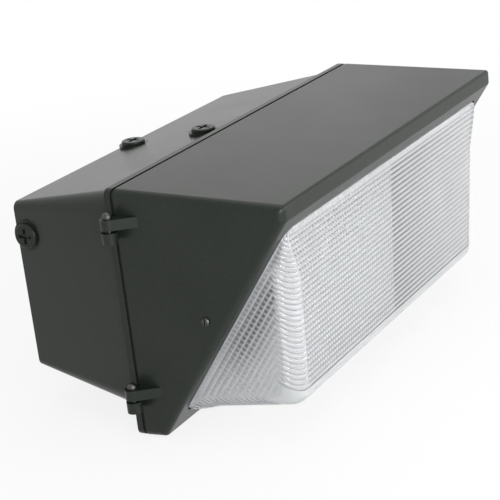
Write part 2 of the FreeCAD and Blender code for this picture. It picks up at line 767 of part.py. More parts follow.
def door_frame():
    """The die-cast door: a hollow box with a slanted front and a window in the slanted rim."""
    body, block = slanted_block("door_frame", as_size(0), as_size(0))

    def is_fold(middle, ends):
        return abs(middle.x) < NEAR_MIDDLE and middle.y < -door_rear.value - SAME_PLACE
    folded = rounded(body, block, edges_where(block, is_fold), S.fold_radius)
    rounded(body, folded, side_edges(folded, half_door, door_rear), S.door_corner)

    cavity, core = slanted_block("door_cavity", S.door_wall, S.cut_margin)
    core_edges = side_edges(core, half_door - S.door_wall, door_rear - S.cut_margin)
    rounded(cavity, core, core_edges, S.door_corner - S.door_wall)
    hollow = body.newObject("PartDesign::Boolean", "hollow")
    hollow.Type = "Cut"
    hollow.Group = [cavity]

    lip = Drawing(body, "XZ_Plane", door_rear)
    skin = S.door_wall / 2
    lip.rounded_box(-(half_door - skin), half_door - skin, -(S.door_bottom - skin), S.door_top - skin,
                    S.door_corner - skin)
    lip.rounded_box(-(half_door - S.door_lip_width), half_door - S.door_lip_width,
                    -(S.door_bottom - S.door_lip_width), S.door_top - S.door_lip_width, S.door_corner / 2)
    lip.pad(S.door_lip_thickness)

    # hinge arms: wedges that run back from the side wall to a rounded end round the pin
    for arm_top in ARM_TOPS.values():
        end = Drawing(body, "XY_Plane", arm_top - S.arm_height)
        end.circle(-hinge_x, -hinge_depth, S.knuckle_radius)
        end.pad(S.arm_height)
        arm = Drawing(body, "XY_Plane", arm_top - S.arm_height)
        inside = half_door - S.door_wall / 2
        arm.outline((-inside, -(hinge_depth + S.arm_reach)),
                    (-(hinge_x + S.knuckle_radius * WEB_OUT), -(hinge_depth + S.knuckle_radius * WEB_BACK)),
                    (-(hinge_x - S.knuckle_radius), -hinge_depth),
                    (-(hinge_x - S.knuckle_radius), -(door_rear + S.arm_gap)),
                    (-inside, -(door_rear + S.arm_gap)))
        arm.pad(S.arm_height)
        middle = arm_top - S.arm_height / 2
        ear = Drawing(body, "XZ_Plane", door_rear)
        ear.circle(hinge_x, middle, S.knuckle_radius)
        ear.pad(S.ear_thickness)
        ear_root = Drawing(body, "XZ_Plane", door_rear)
        ear_root.box(inside, hinge_x, middle - S.knuckle_radius, middle + S.knuckle_radius)
        ear_root.pad(S.ear_thickness)

    for arm_top in ARM_TOPS.values():
        middle = arm_top - S.arm_height / 2
        bore = Drawing(body, "XY_Plane", arm_top)
        bore.circle(-hinge_x, -hinge_depth, S.pin_diameter / 2 + S.pin_running_clearance)
        bore.pocket(S.arm_height)
        screw_hole = Drawing(body, "XZ_Plane", ear_front)
        screw_hole.circle(hinge_x, middle, door_screw_hole)
        screw_hole.pocket(S.ear_thickness)
        ring_pocket = Drawing(body, "XZ_Plane", door_rear)
        ring_pocket.circle(hinge_x, middle, S.retainer_pocket / 2)
        ring_rest = S.seam_gap - S.retainer_gap - S.retainer_thickness
        ring_pocket.pocket(S.door_screw_travel - ring_rest + S.retainer_end_play, reverse=True)

    # inside: bosses for the glass's clips on the rim, and one in each side wall for its screw
    hole = small_screw_hole
    bosses = rim_drawing(body, -hem_back)
    pilots = rim_drawing(body, -hem_back)
    for across, edge, way in clip_places():
        bosses.circle(across, edge + way * S.clip_screw_out, S.clip_boss_radius)
        pilots.circle(across, edge + way * S.clip_screw_out, hole)
    bosses.pad(hem_back - S.door_wall / 2)
    pilots.pocket(hem_back - S.door_wall - S.blind_hole_floor, reverse=True)
    for side in (-1, 1):
        boss = Drawing(body, "YZ_Plane", side * (half_door - S.door_wall - S.side_boss_length))
        boss.circle(-S.side_screw_forward, 0, S.side_boss_radius)
        boss.pad(S.side_boss_length + S.door_wall / 2, reverse=side < 0)
        side_hole = Drawing(body, "YZ_Plane", side * half_door)
        side_hole.circle(-S.side_screw_forward, 0, hole)
        side_hole.pocket(S.door_wall + S.side_boss_length - S.blind_hole_floor, reverse=side < 0)

    window = rim_drawing(body, as_size(0))
    window.rounded_box(-window_side, window_side, window_low, window_high, S.rim_corner)
    window.pocket(2 * (S.door_wall + S.cut_margin), symmetric=True)
    return body


def on_slant(body):
    """Lay a body on the slanted rim: its X stays, its Y runs up the slope and its Z points outwards."""
    return place(body, (0, -slant_low_depth, -slant_low), ALONG_X, QUARTER_TURN + slant_angle)


def slanted_point(across, up, out):
    """A point given in the rim's own directions, as a point of the whole light."""
    depth = slant_low_depth + (up * slant_run + out * slant_rise) / slant_length
    height = (up * slant_rise - out * slant_run) / slant_length - slant_low
    return across, -depth, height


def glass_block(label, inset):
    """A solid wedge like the glass's outside, with every face moved inwards by the inset."""
    body = new_body(label)
    base = hem_back + S.cut_margin
    foot_lean = (S.glass_foot - glass_low) / S.glass_reach
    front_lean = face_run / face_rise
    low = glass_low + inset * root(1 + foot_lean * foot_lean)
    high = glass_high - inset * root(1 + front_lean * front_lean)
    reach = (high - low) / (foot_lean + front_lean)
    side_view = Drawing(body, "YZ_Plane")
    side_view.outline((low - base * foot_lean, -base), (low + reach * foot_lean, reach),
                      (high + base * front_lean, -base))
    side = glass_side - inset
    draft = S.glass_draft / S.glass_reach
    block = side_view.pad(2 * (side + base * draft), symmetric=True)
    for way in (-1, 1):
        trim = Drawing(body, "XZ_Plane")
        trim.outline((way * (side + base * draft), -base), (way * (side - 2 * reach * draft), 2 * reach),
                     (way * (side + reach), 2 * reach), (way * (side + reach), -base))
        block = trim.pocket(2 * far, symmetric=True)

    def is_outer_edge(middle, ends):
        return middle.z > -base.value + SAME_PLACE
    rounded(body, block, edges_where(block, is_outer_edge), S.glass_round - inset)

    # the straight neck where the glass passes through the rim
    neck = Drawing(body, "XY_Plane")
    neck.box(-far, far, -far, far)
    neck.rounded_box(-side, side, glass_low + inset, glass_high - inset,
                     S.rim_corner - S.glass_clearance - inset)
    neck.pocket(base + S.cut_margin)
    return body


def refractor():
    """The pressed glass: a wedge-shaped tub with a hem and horizontal prism ribs on its front."""
    body = glass_block("refractor", as_size(0))
    hollow = body.newObject("PartDesign::Boolean", "hollow")
    hollow.Type = "Cut"
    hollow.Group = [glass_block("refractor_hollow", S.glass_wall)]

    hem = Drawing(body, "XY_Plane", -hem_back)
    hem_side = glass_side + S.hem_width
    hem.rounded_box(-hem_side, hem_side, glass_low - S.hem_width, glass_high + S.hem_width, S.hem_width)
    skin = S.glass_wall / 2
    hem.rounded_box(-(glass_side - skin), glass_side - skin, glass_low + skin, glass_high - skin,
                    S.rim_corner - S.glass_clearance - skin)
    hem.pad(S.hem_thickness)
    trim = Drawing(body, "XY_Plane", -hem_back)
    trim.box(-far, far, -far, far)
    trim.pocket(2 * S.cut_margin)

    # horizontal ribs: one groove near the foot of the front face, repeated up the face
    groove = Drawing(body, "YZ_Plane")
    groove.move(S.glass_reach, -face_lean, UP)
    bind(groove.sketch, "AttachmentOffset.Base.x", S.glass_foot)
    groove.outline((S.rib_margin, S.rib_cut_rise), (S.rib_margin + S.rib_pitch / 2, -S.rib_depth),
                   (S.rib_margin + S.rib_pitch, S.rib_cut_rise))
    first = groove.pocket(2 * (glass_side + S.cut_margin), symmetric=True)
    ribs = body.newObject("PartDesign::LinearPattern", "ribs")
    ribs.Originals = [first]
    ribs.Direction = (groove.sketch, ["H_Axis"])
    rib_count = int((face_length.value - 2 * S.rib_margin.value) / S.rib_pitch.value)
    bind(ribs, "Length", S.rib_pitch * (rib_count - 1))
    ribs.Occurrences = rib_count
    body.Tip = ribs
    return on_slant(body)


def refractor_gasket():
    """The flat ring between the rim and the glass's hem."""
    body = new_body("refractor_gasket")
    ring = Drawing(body, "XY_Plane", -hem_seat)
    outer = S.hem_width - S.lens_gasket_inset
    inner = outer - S.lens_gasket_width
    for grow in (outer, inner):
        ring.rounded_box(-(glass_side + grow), glass_side + grow, glass_low - grow, glass_high + grow,
                         S.lens_gasket_corner)
    ring.pad(S.lens_gasket_thickness)
    return on_slant(body)


def clip_places():
    """Where the glass's clips sit, in the rim's plane: two below and two above, with their direction."""
    across = window_side * CLIP_SHARE
    low = glass_low - S.hem_width
    high = glass_high + S.hem_width
    return [(-across, low, -1), (across, low, -1), (-across, high, 1), (across, high, 1)]


def refractor_clips():
    """Flat steel clips that press the hem against the rim, each screwed to a boss beside the hem."""
    clips = []
    for across, edge, way in clip_places():
        body = new_body("refractor_clip")
        strip = Drawing(body, "XY_Plane", -hem_back - S.clip_thickness)
        outer = edge + way * (S.clip_screw_out + S.clip_boss_radius)
        inner = edge - way * S.clip_bite
        strip.box(across - S.clip_width / 2, across + S.clip_width / 2, inner, outer)
        strip.circle(across, edge + way * S.clip_screw_out, small_screw_hole)
        strip.pad(S.clip_thickness)
        clips.append(on_slant(body))
    return group("refractor_clips", clips)


def refractor_clip_screws():
    screws = []
    for across, edge, way in clip_places():
        screw = pan_head_screw("refractor_clip_screw", S.clip_thickness + S.small_screw_bite, "cross")
        at = slanted_point(across, edge + way * S.clip_screw_out, -hem_back - S.clip_thickness)
        screws.append(place(screw, at, ALONG_X, slant_angle - QUARTER_TURN))
    return group("refractor_clip_screws", screws)


def door_gasket():
    """The black ring that fills the seam between door and flange."""
    body = new_body("door_gasket")
    ring = Drawing(body, "XZ_Plane", S.housing_depth)
    for inset in (S.gasket_inset, S.gasket_inset + S.gasket_width):
        ring.rounded_box(-(half_door - inset), half_door - inset, -(S.door_bottom - inset),
                         S.door_top - inset, S.door_corner - S.gasket_inset)
    ring.pad(S.seam_gap)
    return body


def hinge_pin(name):
    """A domed pin, pressed into the housing's knuckle and free in the door's arm above it."""
    body = new_body(f"hinge_pin_{name}")
    above_knuckle = S.knuckle_gap + S.arm_height + S.pin_head_gap
    shank = Drawing(body, "XY_Plane")
    shank.circle(0, 0, S.pin_diameter / 2)
    shank.pad(S.knuckle_height + above_knuckle)
    head = Drawing(body, "XY_Plane", S.knuckle_height + above_knuckle)
    head.circle(0, 0, S.pin_head_diameter / 2)
    block = head.pad(S.pin_head_height)
    top = S.knuckle_height.value + above_knuckle.value + S.pin_head_height.value

    def is_top_edge(middle, ends):
        return middle.z > top - SAME_PLACE
    rounded(body, block, edges_where(block, is_top_edge), S.pin_dome)
    foot = ARM_TOPS[name] - S.arm_height - S.knuckle_gap - S.knuckle_height
    return place(body, (-hinge_x, -hinge_depth, foot))


def captive_screw(name):
    """A slotted hexagon screw with a groove that holds its retaining ring."""
    body = new_body(f"captive_screw_{name}")
    radius = S.door_screw_diameter / 2
    length = S.ear_thickness + S.seam_gap + S.door_screw_engagement
    ring_top = ring_depth()
    ring_low = ring_top + S.retainer_thickness
    groove = radius - S.retainer_groove
    shank = Drawing(body, "XZ_Plane")
    shank.outline((0, 0), (radius, 0), (radius, -ring_top), (groove, -ring_top), (groove, -ring_low),
                  (radius, -ring_low), (radius, S.door_screw_chamfer - length),
                  (radius - S.door_screw_chamfer, -length), (0, -length))
    shank.turned()
    head = Drawing(body, "XY_Plane")
    across = S.door_screw_head / 2
    turns = [math.tau * corner / HEXAGON_SIDES for corner in range(HEXAGON_SIDES)]
    head.outline(*((across * math.cos(turn), across * math.sin(turn)) for turn in turns))
    head.pad(S.door_screw_head_height)
    slot = Drawing(body, "XY_Plane", S.door_screw_head_height)
    reach = across + S.cut_margin
    slot.box(-reach, reach, -S.slot_width / 2, S.slot_width / 2)
    slot.pocket(S.door_screw_slot_depth)
    return place(body, (hinge_x, -ear_front, ARM_TOPS[name] - S.arm_height / 2), ALONG_X, 90)


def ring_depth():
    """How far the retaining ring lies below the captive screw's head."""
    return S.ear_thickness + S.seam_gap - S.retainer_gap - S.retainer_thickness


def screw_retainer(name):
    body = new_body(f"screw_retainer_{name}")
    ring = Drawing(body, "XY_Plane", -ring_depth() - S.retainer_thickness)
    ring.circle(0, 0, S.retainer_diameter / 2)
    ring.circle(0, 0, S.door_screw_diameter / 2 - S.retainer_groove)
    ring.pad(S.retainer_thickness)
    return place(body, (hinge_x, -ear_front, ARM_TOPS[name] - S.arm_height / 2), ALONG_X, 90)


def door_side_screw(name, side):
    length = S.door_wall + S.side_boss_length - 2 * S.blind_hole_floor
    screw = pan_head_screw(f"door_side_screw_{name}", length)
    return place(screw, (side * half_door, -S.side_screw_forward, 0), ALONG_Y, side * 90)


def conduit_plug(name, entry):
    """A cast plug with a cross recess, screwed into one of the threaded entries."""
    body = new_body(f"conduit_plug_{name}")
    plane, side, across, up, reach = entry
    thread = Drawing(body, "XY_Plane", -S.plug_thread_length)
    thread.circle(0, 0, S.entry_radius - S.plug_thread_clearance)
    thread.pad(S.plug_thread_length)
    head = Drawing(body, "XY_Plane")
    head.circle(0, 0, S.plug_head_radius)
    block = head.pad(S.plug_head_height)

    def is_top_edge(middle, ends):
        return middle.z > S.plug_head_height.value - SAME_PLACE
    rounded(body, block, edges_where(block, is_top_edge), S.plug_edge)
    cross = Drawing(body, "XY_Plane", S.plug_head_height)
    arm, half = S.plug_recess_reach, S.plug_recess_width / 2
    cross.outline((half, half), (half, arm), (-half, arm), (-half, half), (-arm, half), (-arm, -half),
                  (-half, -half), (-half, -arm), (half, -arm), (half, -half), (arm, -half), (arm, half))
    cross.pocket(S.plug_recess)
    if plane == "XY_Plane":
        return place(body, (across, up, reach))
    return place(body, (side * reach, across, up), ALONG_Y, side * 90)


def reflector():
    """The bright tray behind the lamp, with sloping sides and a lip."""
    body = new_body("reflector")

    def tray(kind, inset, back):
        base = Drawing(body, "XZ_Plane", back)
        base_side, base_top = S.reflector_base_width / 2 - inset, S.reflector_base_height / 2 - inset
        base.rounded_box(-base_side, base_side, -base_top, base_top, S.reflector_corner - inset)
        mouth = Drawing(body, "XZ_Plane", S.reflector_lip)
        side = S.reflector_mouth_width / 2 - inset
        mouth.rounded_box(-side, side, inset - S.reflector_mouth_bottom, S.reflector_mouth_top - inset,
                          S.reflector_corner - inset)
        loft(body, kind, base, mouth)
    tray("AdditiveLoft", as_size(0), S.reflector_back)
    tray("SubtractiveLoft", S.reflector_sheet, reflector_front)

    lip = Drawing(body, "XZ_Plane", S.reflector_lip - S.reflector_sheet)
    for grow in (-S.reflector_sheet / 2, S.reflector_lip_width):
        side = S.reflector_mouth_width / 2 + grow
        lip.rounded_box(-side, side, -(S.reflector_mouth_bottom + grow), S.reflector_mouth_top + grow,
                        S.reflector_corner + grow)
    lip.pad(S.reflector_sheet)
    holes = Drawing(body, "XZ_Plane", reflector_front)
    for x, z in post_places():
        holes.circle(x, z, small_screw_hole)
    for z in (-S.bracket_screw_height, S.bracket_screw_height):
        holes.circle(bracket_screw_side, z, small_screw_hole)
    holes.circle(lead_exit, 0, S.bushing_neck_radius + S.screw_hole_clearance)
    holes.pocket(S.reflector_sheet)
    return body


def reflector_screws():
    screws = []
    for x, z in post_places():
        screw = pan_head_screw("reflector_screw", S.reflector_sheet + S.post_screw_bite, "cross")
        screws.append(place(screw, (x, -reflector_front, z), ALONG_X, 90))
    return group("reflector_screws", screws)


def solid(kind, start, **sizes):
    """A round primitive that starts at a place along the lamp's axis and runs towards +X."""
    item = doc.addObject(f"Part::{kind}", kind.lower())
    for name, size in sizes.items():
        bind(item, name, size)
    return place(item, (start, -S.lamp_forward, 0), ALONG_Y, 90)


def fused(pieces):
    item = doc.addObject("Part::MultiFuse", "fused")
    item.Shapes = pieces
    return item


def bulb(inset, past_neck):
    """The lamp's outer form: a dome, a straight part, a cone and a neck, all moved inwards by the inset."""
    radius, neck = S.lamp_radius - inset, S.lamp_neck_radius - inset
    middle = lamp_tip + S.lamp_radius
    neck_start = lamp_base_start - S.lamp_neck_length
    cone_start = neck_start - S.lamp_cone_length
    return fused([
        solid("Sphere", middle, Radius=radius),
        solid("Cylinder", middle, Radius=radius, Height=cone_start - middle),
        solid("Cone", cone_start, Radius1=radius, Radius2=neck, Height=S.lamp_cone_length),
        solid("Cylinder", neck_start, Radius=neck, Height=S.lamp_neck_length + S.lamp_neck_grip + past_neck),
    ])


def lamp_envelope():
    """The lamp's clear outer bulb, open where its neck grips the base."""
    item = doc.addObject("Part::Cut", "envelope")
    item.Label = "lamp_envelope"
    item.Base = bulb(as_size(0), as_size(0))
    item.Tool = bulb(S.lamp_glass, S.cut_margin)
    return item


def lamp_base():
    body = new_body("lamp_base")
    profile = Drawing(body, "XZ_Plane")
    profile.outline((0, 0), (S.base_radius, 0), (S.base_radius, S.base_straight),
                    (S.contact_radius, S.base_length - S.contact_land), (S.contact_radius, S.base_length),
                    (0, S.base_length))
    profile.turned()
    return place(body, (lamp_base_start, -S.lamp_forward, 0), ALONG_Y, 90)


def arc_tube():
    """The inner quartz tube, with a flattened seal at each end."""
    half = S.arc_tube_length / 2
    start, end = S.arc_tube_middle - half, S.arc_tube_middle + half
    radius = S.arc_tube_radius
    pieces = [
        solid("Sphere", start + radius, Radius=radius),
        solid("Cylinder", start + radius, Radius=radius, Height=S.arc_tube_length - 2 * radius),
        solid("Sphere", end - radius, Radius=radius),
    ]
    for seal_start in (start - S.arc_tube_end, end - S.seal_overlap):
        seal = doc.addObject("Part::Box", "seal")
        bind(seal, "Length", S.arc_tube_end + S.seal_overlap)
        bind(seal, "Width", S.seal_thickness)
        bind(seal, "Height", S.seal_width)
        corner = (seal_start, -S.lamp_forward - S.seal_thickness / 2, -S.seal_width / 2)
        pieces.append(place(seal, corner))
    item = fused(pieces)
    item.Label = "arc_tube"
    return item


def arc_tube_frame():
    """The stem and the two rods that carry the arc tube between them."""
    rod = S.frame_rod_radius
    half = S.frame_half_height
    seal_reach = S.arc_tube_length / 2 + S.arc_tube_end + rod + S.frame_gap
    near, far = S.arc_tube_middle + seal_reach, S.arc_tube_middle - seal_reach
    fork = lamp_base_start - S.stem_length
    stem = solid("Cone", fork, Radius1=S.stem_tip_radius, Radius2=S.stem_foot_radius, Height=S.stem_length)
    pieces = [stem]
    for height, end in ((half, far), (-half, near)):
        long_rod = solid("Cylinder", end, Radius=rod, Height=fork - end)
        pieces.append(place(long_rod, (end, -S.lamp_forward, height), ALONG_Y, 90))
    for across, low, high in ((fork, -half, half), (near, -half, as_size(0)), (far, as_size(0), half)):
        strap = doc.addObject("Part::Cylinder", "strap")
        bind(strap, "Radius", rod)
        bind(strap, "Height", high - low + rod)
        pieces.append(place(strap, (across, -S.lamp_forward, low - rod / 2)))
    item = fused(pieces)
    item.Label = "arc_tube_frame"
    return item


def lamp_socket():
    """The porcelain socket: a thick cup whose floor takes two screws and the two leads."""
    body = new_body("lamp_socket")
    bore = S.base_radius + S.shell_clearance + S.shell_thickness + S.shell_seat_clearance
    floor = S.socket_length - S.socket_floor
    profile = Drawing(body, "XZ_Plane")
    profile.outline((bore, 0), (S.socket_radius - S.socket_bevel, 0), (S.socket_radius, S.socket_bevel),
                    (S.socket_radius, S.socket_length), (0, S.socket_length), (0, floor), (bore, floor))
    profile.turned()
    screw_holes = Drawing(body, "XY_Plane", S.socket_length)
    for height in (-S.socket_screw_height, S.socket_screw_height):
        screw_holes.circle(height, 0, small_screw_hole)
    screw_holes.pocket(S.socket_floor / 2)
    lead_holes = Drawing(body, "XZ_Plane", -S.socket_radius)
    for height in (-S.lead_spacing / 2, S.lead_spacing / 2):
        lead_holes.circle(height, lead_exit - socket_mouth, S.lead_radius + S.screw_hole_clearance)
    lead_holes.pocket(S.socket_lead_depth, reverse=True)
    return place(body, (socket_mouth, -S.lamp_forward, 0), ALONG_Y, 90)


def socket_shell():
    body = new_body("socket_shell")
    tube = Drawing(body, "XY_Plane", S.shell_lift)
    inside = S.base_radius + S.shell_clearance
    tube.circle(0, 0, inside)
    tube.circle(0, 0, inside + S.shell_thickness)
    tube.pad(S.socket_length - S.socket_floor - S.shell_lift)
    return place(body, (socket_mouth, -S.lamp_forward, 0), ALONG_Y, 90)


def socket_contact():
    body = new_body("socket_contact")
    button = Drawing(body, "XY_Plane", -S.contact_height)
    button.circle(0, 0, S.contact_radius)
    button.pad(S.contact_height)
    floor = socket_mouth + S.socket_length - S.socket_floor
    return place(body, (floor, -S.lamp_forward, 0), ALONG_Y, 90)


def socket_bracket():
    """A bent steel plate that holds the socket in front of the reflector."""
    body = new_body("socket_bracket")
    foot_front = reflector_front + S.bracket_thickness
    plate_end = S.lamp_forward + S.bracket_width / 2
    plate_front = socket_back + S.bracket_thickness
    section = Drawing(body, "XY_Plane")
    section.outline((socket_back, -reflector_front), (socket_back + S.bracket_foot, -reflector_front),
                    (socket_back + S.bracket_foot, -foot_front), (plate_front, -foot_front),
                    (plate_front, -plate_end), (socket_back, -plate_end))
    section.pad(S.bracket_width, symmetric=True)
    hole = small_screw_hole
    plate_holes = Drawing(body, "YZ_Plane", plate_front)
    foot_holes = Drawing(body, "XZ_Plane", foot_front)
    for way in (-1, 1):
        plate_holes.circle(-S.lamp_forward, way * S.socket_screw_height, hole)
        foot_holes.circle(bracket_screw_side, way * S.bracket_screw_height, hole)
    plate_holes.pocket(S.bracket_thickness)
    foot_holes.pocket(S.bracket_thickness)
    return body


def socket_screws():
    screws = []
    for way in (-1, 1):
        screw = pan_head_screw("socket_screw", S.bracket_thickness + S.socket_screw_bite)
        at = (socket_back + S.bracket_thickness, -S.lamp_forward, way * S.socket_screw_height)
        screws.append(place(screw, at, ALONG_Y, 90))
    return group("socket_screws", screws)


def bracket_screws():
    screws = []
    for way in (-1, 1):
        length = S.bracket_thickness + S.reflector_sheet + S.bracket_screw_end
        screw = pan_head_screw("bracket_screw", length, "cross")
        at = (bracket_screw_side, -reflector_front - S.bracket_thickness, way * S.bracket_screw_height)
        screws.append(place(screw, at, ALONG_X, 90))
    return group("bracket_screws", screws)


def lead_bushing():
    """A rubber bushing that lines the reflector's hole where the leads pass through."""
    body = new_body("lead_bushing")
    profile = Drawing(body, "XZ_Plane")
    top = S.reflector_sheet + S.bushing_lip
    profile.outline((S.bushing_bore, -S.bushing_lip), (S.bushing_lip_radius, -S.bushing_lip),
                    (S.bushing_lip_radius, 0), (S.bushing_neck_radius, 0),
                    (S.bushing_neck_radius, S.reflector_sheet), (S.bushing_lip_radius, S.reflector_sheet),
                    (S.bushing_lip_radius, top), (S.bushing_bore, top))
    profile.turned()
    return place(body, (lead_exit, -S.reflector_back, 0), ALONG_X, 90)


def ballast_core():
    """The laminated core: a block with two windows on either side of its middle limb."""
    body = new_body("ballast_core")
    half = S.core_width / 2
    section = Drawing(body, "XY_Plane")
    section.box(S.ballast_centre - half, S.ballast_centre + half, -ballast_middle - S.core_depth / 2,
                -ballast_middle + S.core_depth / 2)
    middle_limb = S.core_depth / 2 - S.core_limb - S.core_window
    for way in (-1, 1):
        section.box(S.ballast_centre - half + S.core_limb, S.ballast_centre + half - S.core_limb,
                    -ballast_middle + way * middle_limb,
                    -ballast_middle + way * (middle_limb + S.core_window))
    section.pad(S.core_stack, symmetric=True)
    return body


def ballast_coils():
    coils = []
    inner = S.core_depth / 2 - S.core_limb - S.core_window + S.coil_clearance
    outer = S.core_depth / 2 - S.core_limb - S.coil_clearance
    inner_height = S.core_stack / 2 + S.coil_clearance
    for way in (-1, 1):
        body = new_body("ballast_coil")
        middle = S.ballast_centre + way * S.coil_spacing / 2
        ring = Drawing(body, "YZ_Plane", middle - S.coil_length / 2)
        ring.rounded_box(-ballast_middle - outer, -ballast_middle + outer,
                         -(S.core_stack / 2 + S.core_window), S.core_stack / 2 + S.core_window, outer - inner)
        ring.box(-ballast_middle - inner, -ballast_middle + inner, -inner_height, inner_height)
        ring.pad(S.coil_length)
        coils.append(body)
    return group("ballast_coils", coils)


def ballast_bracket():
    """A folded plate under the core, with a tab at each end for its screws."""
    body = new_body("ballast_bracket")
    half = S.core_width / 2
    outside = half + S.ballast_plate
    plate_height = S.ballast_plate_half
    plate = Drawing(body, "XZ_Plane", S.rear_boss_height)
    plate.box(S.ballast_centre - outside, S.ballast_centre + outside, -plate_height, plate_height)
    plate.pad(S.ballast_plate)
    tab = Drawing(body, "XZ_Plane", S.rear_boss_height)
    tab_end = S.ballast_screw_height + S.post_radius
    tab_half = S.post_radius + S.ballast_tab_edge
    tab.box(S.ballast_centre - tab_half, S.ballast_centre + tab_half, -tab_end, tab_end)
    tab.pad(S.ballast_plate)
    for way in (-1, 1):
        ear = Drawing(body, "XZ_Plane", S.rear_boss_height)
        ear.box(S.ballast_centre + way * half, S.ballast_centre + way * outside, -plate_height, plate_height)
        ear.pad(S.ballast_ear_depth)
    holes = Drawing(body, "XZ_Plane", ballast_rear)
    for way in (-1, 1):
        holes.circle(S.ballast_centre, way * S.ballast_screw_height, small_screw_hole)
    holes.pocket(S.ballast_plate)
    return body


def ballast_screws():
    screws = []
    for way in (-1, 1):
        screw = pan_head_screw("ballast_screw", S.ballast_plate + S.small_screw_bite, "cross")
        at = (S.ballast_centre, -ballast_rear, way * S.ballast_screw_height)
        screws.append(place(screw, at, ALONG_X, 90))
    return group("ballast_screws", screws)


def capacitor():
    """An upright oil-filled can with a rolled rim and two blade terminals."""
    body = new_body("capacitor")
    radius, height = S.capacitor_radius, S.capacitor_height
    rim = radius + S.can_rim
    lid = height - S.can_lid_drop
    seam = height - S.can_seam_height
    profile = Drawing(body, "XZ_Plane")
    inside = rim - S.can_seam_width
    profile.outline((0, 0), (radius - S.can_bevel, 0), (radius, S.can_bevel),
                    (radius, seam - S.can_seam_slope), (rim, seam), (rim, height), (inside, height),
                    (inside, lid), (0, lid))
    profile.turned()
    blades = Drawing(body, "XY_Plane", lid)
    for way in (-1, 1):
        across = way * S.terminal_spacing / 2
        blades.box(across - S.terminal_width / 2, across + S.terminal_width / 2, -S.terminal_thickness / 2,
                   S.terminal_thickness / 2)
    blades.pad(S.terminal_height)
    return place(body, (S.capacitor_centre, -capacitor_depth, -height / 2))


def capacitor_clamp():
    """A steel band round the can, with a foot screwed to the rear wall's boss."""
    body = new_body("capacitor_clamp")
    inside = S.capacitor_radius + S.capacitor_clearance
    band = Drawing(body, "XY_Plane")
    band.circle(0, 0, inside)
    band.circle(0, 0, inside + S.clamp_thickness)
    band.pad(S.clamp_width, symmetric=True)
    foot = Drawing(body, "XY_Plane")
    foot_end = S.clamp_screw_out + S.post_radius
    foot.box(0, foot_end, inside, inside + S.clamp_thickness)
    foot.pad(S.clamp_width, symmetric=True)
    hole = Drawing(body, "XZ_Plane", -inside)
    hole.circle(S.clamp_screw_out, 0, small_screw_hole)
    hole.pocket(S.clamp_thickness)
    return place(body, (S.capacitor_centre, -capacitor_depth, 0))


def clamp_screw():
    screw = pan_head_screw("clamp_screw", S.clamp_thickness + S.small_screw_bite)
    at = (S.capacitor_centre + S.clamp_screw_out, -S.rear_boss_height - S.clamp_thickness, 0)
    return place(screw, at, ALONG_X, 90)


def igniter():
    """A potted block on the rear wall, with a screw tab."""
    body = new_body("igniter")
    block = Drawing(body, "XZ_Plane", S.rear_wall)
    half = S.igniter_width / 2
    block.rounded_box(S.igniter_centre - half, S.igniter_centre + half, -S.igniter_height / 2,
                      S.igniter_height / 2, S.igniter_corner)
    block.pad(S.igniter_depth)
    tab = Drawing(body, "XZ_Plane", S.rear_boss_height)
    tab_half = S.post_radius + S.igniter_tab_edge
    tab_root = S.igniter_height / 2 - S.igniter_tab_root
    tab_end = S.igniter_height / 2 + S.igniter_tab
    tab.box(S.igniter_centre - tab_half, S.igniter_centre + tab_half, tab_root, tab_end)
    tab.pad(S.ballast_plate)
    hole = Drawing(body, "XZ_Plane", ballast_rear)
    hole.circle(S.igniter_centre, igniter_screw_height, small_screw_hole)
    hole.pocket(S.ballast_plate)
    return body


def igniter_screw():
    screw = pan_head_screw("igniter_screw", S.ballast_plate + S.small_screw_bite, "cross")
    return place(screw, (S.igniter_centre, -ballast_rear, igniter_screw_height), ALONG_X, 90)


def ground_screw():
    screw = pan_head_screw("ground_screw", S.small_screw_bite)
    return place(screw, (S.ground_screw_side, -S.rear_boss_height, -S.ground_screw_low), ALONG_X, 90)


def lead(label, route):
    """A round lead: straight runs through the route's points, joined by arcs as large as the runs allow."""
    points = [FreeCAD.Vector(*point) for point in route]
    edges, start, smallest = [], points[0], math.inf
    for before, corner, after in zip(points, points[1:], points[2:]):
        inwards, onwards = (before - corner).normalize(), (after - corner).normalize()
        half_turn = (math.pi - inwards.getAngle(onwards)) / 2
        cut = BEND_SHARE * min(corner.distanceToPoint(before), corner.distanceToPoint(after))
        radius = cut / math.tan(half_turn)
        smallest = min(smallest, radius)
        arc_start, arc_end = corner + inwards * cut, corner + onwards * cut
        middle = (inwards + onwards).normalize() * (radius / math.cos(half_turn) - radius)
        edges.append(Part.makeLine(start, arc_start))
        edges.append(Part.Arc(arc_start, corner + middle, arc_end).toShape())
        start = arc_end
    edges.append(Part.makeLine(start, points[-1]))
    path = Part.Wire(edges)
    section = Part.Wire([Part.makeCircle(S.lead_radius.value, points[0], points[1] - points[0])])
    item = doc.addObject("Part::Feature", "lead")
    item.Label = label
    item.Shape = path.makePipeShell([section], True, False)
    ideal = path.Length * math.pi * S.lead_radius.value ** 2
    print(f"{label}: smallest bend {smallest:.1f} mm, volume {item.Shape.Volume / ideal:.4f} of its ideal")
    return item


